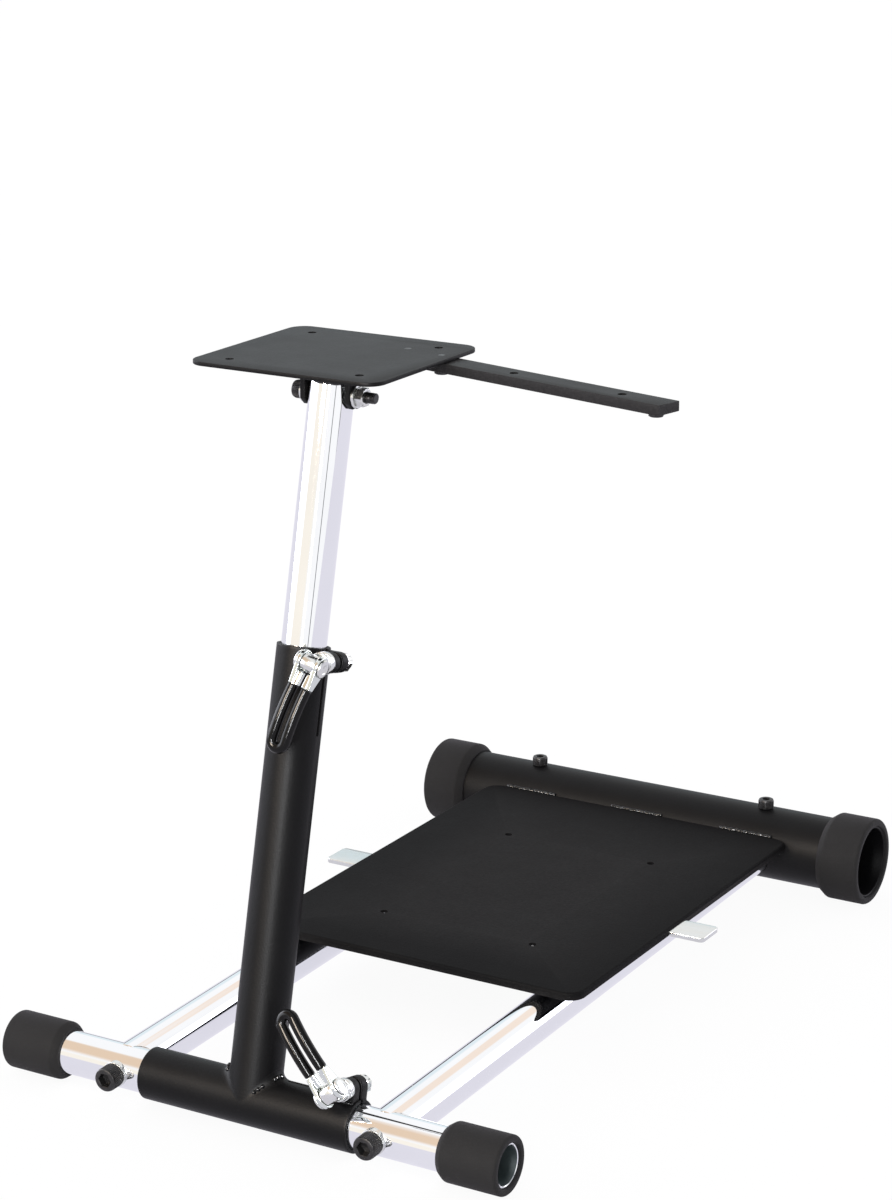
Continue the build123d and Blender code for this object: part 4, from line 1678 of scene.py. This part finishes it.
    def pin(self) -> Shape:
        """Turns the pin with its two heads, outside the yoke's cheeks.

        Returns:
            The pin's shape.
        """
        seat, head, stem = self.cheek_outside + self.pin_gap, self.pin_head_radius, self.pin_radius
        top = seat + self.pin_head
        half: Outline = [
            (seat, stem), (seat, head - 0.5), (seat + 0.5, head), (top - 0.9, head), (top - 0.3, head - 0.4),
            (top, head - 1.2), (top, stem), (top - 0.35, stem - 0.5), (top - 0.35, 0.0),
        ]
        return turned([(-along, radius) for along, radius in reversed(half)] + half)

    def hardware(self) -> None:
        """Builds the stepped washer, the nut, the eye bolt and its pin."""
        place, across = self.place(), self.loop() @ framed(ORIGIN, X, Y)
        self.zinced("cam_washer", "ring", self.washer(), place)
        under = place @ framed(Vector((0.0, 0.0, -self.lug_face)), X, -Z)
        self.zinced("clamp_nut", "hex", self.nut.shape(), under)
        self.eye_bolt(place, across)
        self.zinced("clamp_pin", "headed", self.pin(), across)

    def path(self) -> list[Vector]:
        """Gives the grip's middle line in the lever's frame.

        Returns:
            The points from one leg's start round the tip to the other's.
        """
        start, curve = self.grip_start, self.bend_radius
        bend = (self.lever_length - self.leg - self.grip_radius - start) / curve
        turns = [bend * step / self.bend_steps for step in range(self.bend_steps + 1)]
        run = [(start + curve * math.sin(turn), curve * (math.cos(turn) - 1)) for turn in turns]
        marks = (*self.lip_marks, self.grip_lip)
        run[1:1] = [(start + curve * math.sin(mark / curve), 0.0) for mark in marks]
        end_x, end_z = run[-1]
        tip = []
        for step in range(1, self.tip_steps):
            angle = math.pi * step / self.tip_steps
            ahead, aside = self.leg * math.sin(angle), self.leg * math.cos(angle)
            tip.append(Vector((end_x + ahead * math.cos(bend), aside, end_z - ahead * math.sin(bend))))
        near = [Vector((x, self.leg, z)) for x, z in run]
        far = [Vector((x, -self.leg, z)) for x, z in reversed(run)]
        return near + tip + far

    def yoke(self) -> Shape:
        """Makes the forged yoke: two cam discs, their wedges, the arms and the loop's ends.

        Returns:
            The yoke's shape, before its parts are run together.
        """
        turn = math.radians(self.lift)
        shift = Vector((-self.cam_throw * math.sin(turn), 0.0, -self.cam_throw * math.cos(turn)))
        tall, cam, edge, start = self.arm_thickness / 2, self.cam_radius, self.cheek_edge, self.grip_start
        brow, corner = cam - self.wedge_short, self.wedge_corner
        corners = [(0.0, -brow, 0.0), (start, -tall, corner), (start, tall, corner), (0.0, brow, 0.0)]
        wedge = [(x, -z) for x, z in reversed(softened(corners, 3))]
        forged = Shape()
        for side in (1, -1):
            low, high = sorted((side * self.cheek_inside, side * self.cheek_outside))
            disc = turned([
                (low, 0.0), (low, cam - edge), (low + edge, cam),
                (high - edge, cam), (high, cam - edge), (high, 0.0),
            ])
            forged.add(disc, framed(shift, X, Y))
            forged.add(slab(wedge, low, high, self.wedge_edge, 1), framed(ORIGIN, X, Y))
            near, far = sorted((side * (self.leg - self.grip_radius), side * self.cheek_outside))
            outline = rectangle(near, -tall, far, tall, self.arm_corner, 4)
            arm = slab(outline, self.arm_start, start - self.arm_gap, self.arm_edge, 2)
            forged.add(arm, framed(ORIGIN, Y, X))
            stub = rod(self.rod_radius, start - self.stub_back, start + self.stub_ahead, self.bend_steps)
            forged.add(stub, framed(Vector((0.0, side * self.leg, 0.0)), Y, X))
        return forged

    def lever(self) -> None:
        """Builds the forged yoke and the dipped grip on its loop."""
        body, place, node = self.node("lever"), self.loop(), self.node("lever_yoke")
        yoke = linked(f"{node}_forged", self.yoke().mesh("yoke", Matrix.Identity(4)))
        finished(melted(yoke, self.yoke_voxel, self.yoke_rounds), body, [FORGED], node, place=place)
        node = self.node("lever_grip")
        grip = self.trees.sweep.run(
            f"{node}_dipped", self.path(), VINYL, Radius=self.grip_radius, Sides=self.grip_sides,
            Lip=self.grip_lip,
        )
        finished(grip, body, [VINYL], node, place=place)

    def build(self) -> None:
        """Builds the clamp and its lever."""
        self.lugs()
        self.hardware()
        self.lever()


@dataclass
class Post(SubAssembly):
    """The chrome post in the column and the pivot bolt through its top."""

    radius: float = 16.85
    wall: float = 2.0
    bottom: float = 185.0
    top: float = 534.0
    washer_seat: float = 21.25
    washer_radius: float = 9.0
    washer_thickness: float = 2.0
    washer_gap: float = 0.1
    bolt_radius: float = 4.0
    bolt_end: float = 8.0
    thread_depth: float = 0.25
    thread_back: float = 0.9
    thread_turns: float = 7.0
    thread_length: float = 8.4
    nut: HexNut = HexNut()

    def build(self) -> None:
        """Builds the post, the bolt, its washers and its nut."""
        tube = pipe(self.radius, self.radius - self.wall, self.bottom, self.top)
        built("post_tube", tube, self.layout.column(), "post", [CHROME, BORE], "post")
        low, seat = self.washer_seat, self.washer_seat + self.washer_thickness
        rim, bore, pivot = self.washer_radius, self.bolt_radius + self.washer_gap, self.layout.pivot
        ring = turned([
            (low, bore), (low, rim - 0.3), (low + 0.3, rim),
            (seat - 0.5, rim), (seat, rim - 0.5), (seat, bore),
        ], closed=True)
        for side, word in SIDES:
            node = f"{word}_pivot_washer"
            built(f"{node}_ring", ring, self.layout.across(pivot, side), "post", [ZINC], node)
        place = self.layout.across(pivot)
        under = place @ Matrix.Translation((0.0, 0.0, seat))
        built("pivot_nut_hex", self.nut.shape(), under, "post", [ZINC], "pivot_nut")
        length = 2 * seat + self.nut.thickness + self.bolt_end
        screw = replace(SMALL_SCREW, shank_radius=self.bolt_radius - self.thread_depth, shank_length=length)
        screw.build(self.trees, "pivot_bolt", self.layout.across(pivot - RIGHT * seat * MM, -1), "post")
        start = seat + self.nut.thickness - self.thread_back
        self.thread("pivot_bolt_thread", place, "post", OXIDE, self.bolt_radius, start,
                    self.thread_turns, self.thread_length)


@dataclass
class Head(SubAssembly):
    """The bracket, the wheel plate and the shifter arm with its bolts."""

    ear_inside: float = 17.15
    ear_outside: float = 21.15
    ear_half: float = 10.0
    ear_below: float = 9.0
    ear_corner: float = 5.0
    ear_round: float = 2.0
    ear_short: float = 0.4
    web_sheet: float = 3.0
    web_round: float = 2.5
    web_edge: float = 0.4
    sheet_edge: float = 0.5
    plate_corner: float = 14.0
    hole_radius: float = 3.25
    wheel_hole: float = 55.0
    arm_angle: float = 12.6
    arm_width: float = 22.0
    arm_thickness: float = 7.4
    arm_tail: float = 47.0
    arm_reach: float = 279.0
    arm_bolt_across: float = 70.0
    arm_bolt_back: float = 39.0
    arm_bolt_pitch: float = 34.0
    arm_end_bolt: float = 11.0
    shifter_holes: tuple[float, float] = (70.0, 170.0)
    bolt_radius: float = 3.0
    bolt_flats: float = 10.0
    bolt_head: float = 3.5
    bolt_gap: float = 0.05

    def bracket(self) -> None:
        """Builds the bracket: two ears beside the post under a short web."""
        pivot, half, below, corner, bend = (
            self.layout.pivot, self.ear_half, self.ear_below, self.ear_corner, self.ear_round)
        top = (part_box("wheel_bracket")[1].z - pivot.z) / MM
        crown = top - self.ear_short
        outline = softened([
            (-half, corner - below, bend), (corner - half, -below, bend), (half - corner, -below, bend),
            (half, corner - below, bend), (half, crown, 0.0), (-half, crown, 0.0),
        ], 5)
        place = self.layout.across(pivot)
        ears = [slab(outline, self.ear_inside, self.ear_outside, self.sheet_edge),
                slab(outline, -self.ear_outside, -self.ear_inside, self.sheet_edge)]
        piece = linked("wheel_bracket_bent", ears[0].mesh("ear", place))
        combined(piece, ears[1], place, Cut.JOIN)
        wide, under, bend = self.ear_outside, top - self.web_sheet, self.web_round
        web = softened([(-wide, under, 0.0), (wide, under, 0.0), (wide, top, bend), (-wide, top, bend)], 6)
        combined(piece, slab(web, -half, half, self.web_edge), placed(pivot, RIGHT, -BACK), Cut.JOIN)
        finished(piece, "head", [COAT], "wheel_bracket")

    def arm(self) -> Matrix:
        """Gives the arm's frame.

        Returns:
            The frame, at the outer bolt, with X out along the arm and Z up from its top.
        """
        turn = math.radians(self.arm_angle)
        origin = self.layout.pivot + (RIGHT * self.arm_bolt_across + BACK * self.arm_bolt_back) * MM
        origin.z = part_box("shifter_arm")[1].z
        return placed(origin, RIGHT * math.cos(turn) - BACK * math.sin(turn), UPRIGHT)

    def bolt_holes(self, piece: bpy.types.Object) -> None:
        """Drills the holes of the arm's two bolts."""
        spots = [(0.0, 0.0), (-self.arm_bolt_pitch, 0.0)]
        drilled(piece, self.arm(), spots, self.bolt_radius, 2 * self.arm_thickness)

    def wheel_plate(self) -> None:
        """Builds the flat plate at the top, with its holes."""
        low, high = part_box("wheel_plate")
        wide, deep, tall = (high - low) / MM
        place = placed((low + high) / 2, RIGHT, UPRIGHT)
        outline = rectangle(-wide / 2, -deep / 2, wide / 2, deep / 2, self.plate_corner, PLATE_STEPS)
        sheet = slab(outline, -tall / 2, tall / 2, self.sheet_edge)
        piece = linked("wheel_plate_sheet", sheet.mesh("plate", place))
        spots = [(i * self.wheel_hole, j * self.wheel_hole) for i in (-1, 1) for j in (-1, 1)]
        drilled(piece, place, spots, self.hole_radius, 2 * self.arm_thickness)
        self.bolt_holes(piece)
        finished(piece, "head", [COAT], "wheel_plate")

    def shifter_arm(self) -> None:
        """Builds the flat bar that runs out to the right, with the bolt at its end."""
        turn, half, tall = math.radians(self.arm_angle), self.arm_width / 2, self.arm_thickness
        run = (self.arm_reach - self.arm_bolt_across - half * math.sin(turn)) / math.cos(turn)
        place = self.arm()
        bar = slab(rectangle(-self.arm_tail, -half, run, half, 0.0), -tall, 0.0, self.sheet_edge)
        piece = linked("shifter_arm_bar", bar.mesh("arm", place))
        drilled(piece, place, [(along, 0.0) for along in self.shifter_holes], self.hole_radius, 2 * tall)
        self.bolt_holes(piece)
        finished(piece, "head", [COAT], "shifter_arm")
        self.hex_bolt("shifter_arm_end_bolt", run - self.arm_end_bolt, tall / 2)

    def hex_bolt(self, name: str, along: float, length: float, *nodes: str) -> None:
        """Builds a bolt under the arm, with its hexagon head down.

        Args:
            name: The bolt's name.
            along: Its place along the arm.
            length: Length of its shank.
            nodes: The CAD node that it stands for, if there is one.
        """
        half, tall, shank = self.bolt_flats / 2, self.bolt_head, self.bolt_radius - self.bolt_gap
        bolt = turned([
            (-length, 0.0), (-length, shank - 0.35), (0.3 - length, shank), (0.0, shank),
            (0.0, half * 0.98), (0.25, half, Form.HEX), (tall - 0.7, half, Form.HEX),
            (tall - 0.1, half * 0.95), (tall, half * 0.9), (tall, 0.0),
        ])
        seat = Matrix.Translation((along, 0.0, -self.arm_thickness))
        built(name, bolt, self.arm() @ seat @ framed(ORIGIN, X, -Z), "head", [OXIDE], *nodes)

    def arm_bolts(self) -> None:
        """Builds the bolts that hold the arm, with their heads underneath."""
        low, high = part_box("outer_arm_bolt")
        length = (high.z - low.z) / MM - self.bolt_head
        for along, node in ((-self.arm_bolt_pitch, "inner_arm_bolt"), (0.0, "outer_arm_bolt")):
            self.hex_bolt(f"{node}_hex", along, length, node)

    def build(self) -> None:
        """Builds the bracket, the plate, the arm and the bolts."""
        self.bracket()
        self.wheel_plate()
        self.shifter_arm()
        self.arm_bolts()


# Studio


@dataclass(frozen=True)
class Panel:
    """A soft-edged patch of the room, by direction in degrees, with its colour."""

    azimuth: float
    elevation: float
    half_wide: float
    half_tall: float
    soft: float
    colour: Triple


@dataclass
class Room(NodeKit):
    """Nodes of the white room, painted by direction alone."""

    base: Triple = (1.13, 1.13, 1.14)
    panels: tuple[Panel, ...] = (
        Panel(100.0, 52.0, 40.0, 26.0, 20.0, (0.5, 0.51, 0.55)),
        Panel(-84.0, 8.0, 36.0, 24.0, 20.0, (5.2, 5.3, 5.7)),
        Panel(138.0, 6.0, 24.0, 16.0, 12.0, (3.4, 3.4, 3.7)),
        Panel(-16.0, 8.0, 24.0, 10.0, 10.0, (1.13, 1.06, 0.95)),
        Panel(-52.0, 44.0, 30.0, 17.0, 16.0, (0.93, 0.72, 0.54)),
        Panel(180.0, 38.0, 14.0, 6.0, 6.0, (1.08, 0.92, 0.8)),
        Panel(-143.0, 15.0, 20.0, 8.0, 10.0, (0.86, 0.97, 1.02)),
        Panel(180.0, 78.0, 70.0, 5.0, 5.0, (0.1, 0.1, 0.11)),
        Panel(51.0, 12.0, 1.6, 34.0, 1.6, (0.2, 0.2, 0.22)),
        Panel(88.0, 12.0, 1.8, 34.0, 1.8, (0.2, 0.2, 0.22)),
        Panel(-140.0, 2.0, 34.0, 4.0, 4.0, (0.2, 0.22, 0.24)),
    )

    def window(self, angle: Socket, middle: float, half: float, soft: float, wrap: bool) -> Socket:
        """Gives 1 inside a range of angles and 0 outside it, with soft edges.

        Args:
            angle: The angle, in degrees.
            middle: Middle of the range.
            half: Half of its width.
            soft: Width of its edges.
            wrap: True for angles round the horizon.

        Returns:
            The share.
        """
        away = self.calc("SUBTRACT", angle, middle)
        if wrap:
            away = self.out("ShaderNodeMath", {0: away, 1: 180.0, 2: -180.0}, operation="WRAP")
        return self.out("ShaderNodeMapRange", {
            "Value": self.calc("ABSOLUTE", away), "From Min": half - soft / 2, "From Max": half + soft / 2,
            "To Min": 1.0, "To Max": 0.0,
        }, interpolation_type="SMOOTHSTEP")

    def build(self) -> None:
        """Builds the room: white for the camera, panels for light and reflections."""
        way = self.add("ShaderNodeTexCoord").outputs["Generated"]
        axes = self.add("ShaderNodeSeparateXYZ", {0: way}).outputs
        heading = self.calc("ARCTAN2", axes[0], self.calc("MULTIPLY", axes[1], -1.0))
        azimuth = self.calc("MULTIPLY", heading, DEGREES)
        elevation = self.calc("MULTIPLY", self.calc("ARCSINE", axes[2]), DEGREES)
        colour: Any = (*self.base, 1.0)
        for panel in self.panels:
            wide = self.window(azimuth, panel.azimuth, panel.half_wide, panel.soft, True)
            tall = self.window(elevation, panel.elevation, panel.half_tall, panel.soft, False)
            colour = self.mix(self.calc("MULTIPLY", wide, tall), colour, panel.colour)
        lit = self.out("ShaderNodeBackground", {"Color": colour, "Strength": 1.0})
        white = self.out("ShaderNodeBackground", {"Color": WHITE, "Strength": 1.0})
        seen = self.add("ShaderNodeLightPath").outputs["Is Camera Ray"]
        self.add("ShaderNodeOutputWorld", {0: self.out("ShaderNodeMixShader", {0: seen, 1: lit, 2: white})})


@dataclass(frozen=True)
class Lamp:
    """A soft lamp that only adds gloss, as the white room lights the colours."""

    name: str
    place: Triple
    wide: float
    tall: float
    power: float
    colour: Triple
    target: Triple = (0.0, -0.25, 0.3)

    def hang(self) -> None:
        """Hangs the lamp, facing its target."""
        data = bpy.data.lights.new(self.name, "AREA")
        data.shape = "RECTANGLE"
        data.size = self.wide
        data.size_y = self.tall
        data.energy = self.power
        data.color = self.colour
        lamp = bpy.data.objects.new(self.name, data)
        lamp.visible_diffuse = False
        lamp.location = self.place
        way = Vector(self.target) - Vector(self.place)
        lamp.rotation_euler = way.to_track_quat("-Z", "Y").to_euler()
        bpy.context.scene.collection.objects.link(lamp)


@dataclass
class Studio:
    """The floor, the soft studio light and the camera."""

    camera_place: Triple = (1.1913, -2.12774, 1.0438)
    camera_pitch: float = 73.68
    camera_turn: float = 30.41
    lens: float = 95.908
    sensor: float = 36.0
    far_end: float = 60.0
    floor_reach: float = 14.0
    floor_drop: float = 0.0004
    floor_steps: int = 8
    lamps: tuple[Lamp, ...] = (
        Lamp("softbox", (-0.4, -2.6, 1.45), 0.7, 1.0, 104.0, (1.0, 0.86, 0.72)),
        Lamp("strip", (0.75, -2.65, 1.15), 0.24, 1.8, 138.0, (0.97, 0.98, 1.0)),
    )

    def camera(self) -> None:
        """Sets the camera at the photograph's view and framing."""
        data = bpy.data.cameras.new("camera")
        data.lens = self.lens
        data.sensor_fit = "VERTICAL"
        data.sensor_width = self.sensor
        data.sensor_height = self.sensor
        data.clip_end = self.far_end
        eye = bpy.data.objects.new("camera", data)
        eye.location = self.camera_place
        eye.rotation_euler = (math.radians(self.camera_pitch), 0.0, math.radians(self.camera_turn))
        bpy.context.scene.collection.objects.link(eye)
        bpy.context.scene.camera = eye

    def floor(self) -> None:
        """Lays the floor under the stand."""
        steps = self.floor_steps
        marks = [self.floor_reach * (2 * i / steps - 1) for i in range(steps + 1)]
        sheet = Shape().loft([[Vector((x, y, -self.floor_drop)) for x in marks] for y in marks], False, False)
        data = bpy.data.meshes.new("floor")
        data.from_pydata([tuple(point) for point in sheet.points], [], sheet.faces)
        data.materials.append(StudioFloor().material())
        linked("floor", data)

    def world(self) -> None:
        """Surrounds the stand with a white room that has soft panels and dark flags."""
        world = bpy.data.worlds.new("studio")
        world.use_nodes = True
        world.node_tree.nodes.clear()
        bpy.context.scene.world = world
        Room(world.node_tree).build()

    def build(self) -> None:
        """Builds the camera, the floor and the light."""
        bpy.context.scene.view_settings.view_transform = "Standard"
        self.camera()
        self.floor()
        self.world()
        for lamp in self.lamps:
            lamp.hang()


def main() -> None:
    """Builds every sub-assembly and the studio."""
    logging.basicConfig(level=logging.INFO, format="%(name)s %(message)s")
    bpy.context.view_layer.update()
    layout = Layout.from_frame()
    trees = Trees()
    FootBar(layout, trees).build()
    Rails(layout, trees).build()
    PedalBase(layout, trees).build()
    Column(layout, trees).build()
    CamClamp(layout, trees, Clamp.UPPER, reach=26.3, lift=18.0).build()
    CamClamp(layout, trees, Clamp.LOWER, reach=27.5, lift=10.0).build()
    Post(layout, trees).build()
    Head(layout, trees).build()
    Studio().build()


if __name__ == "__main__":
    main()
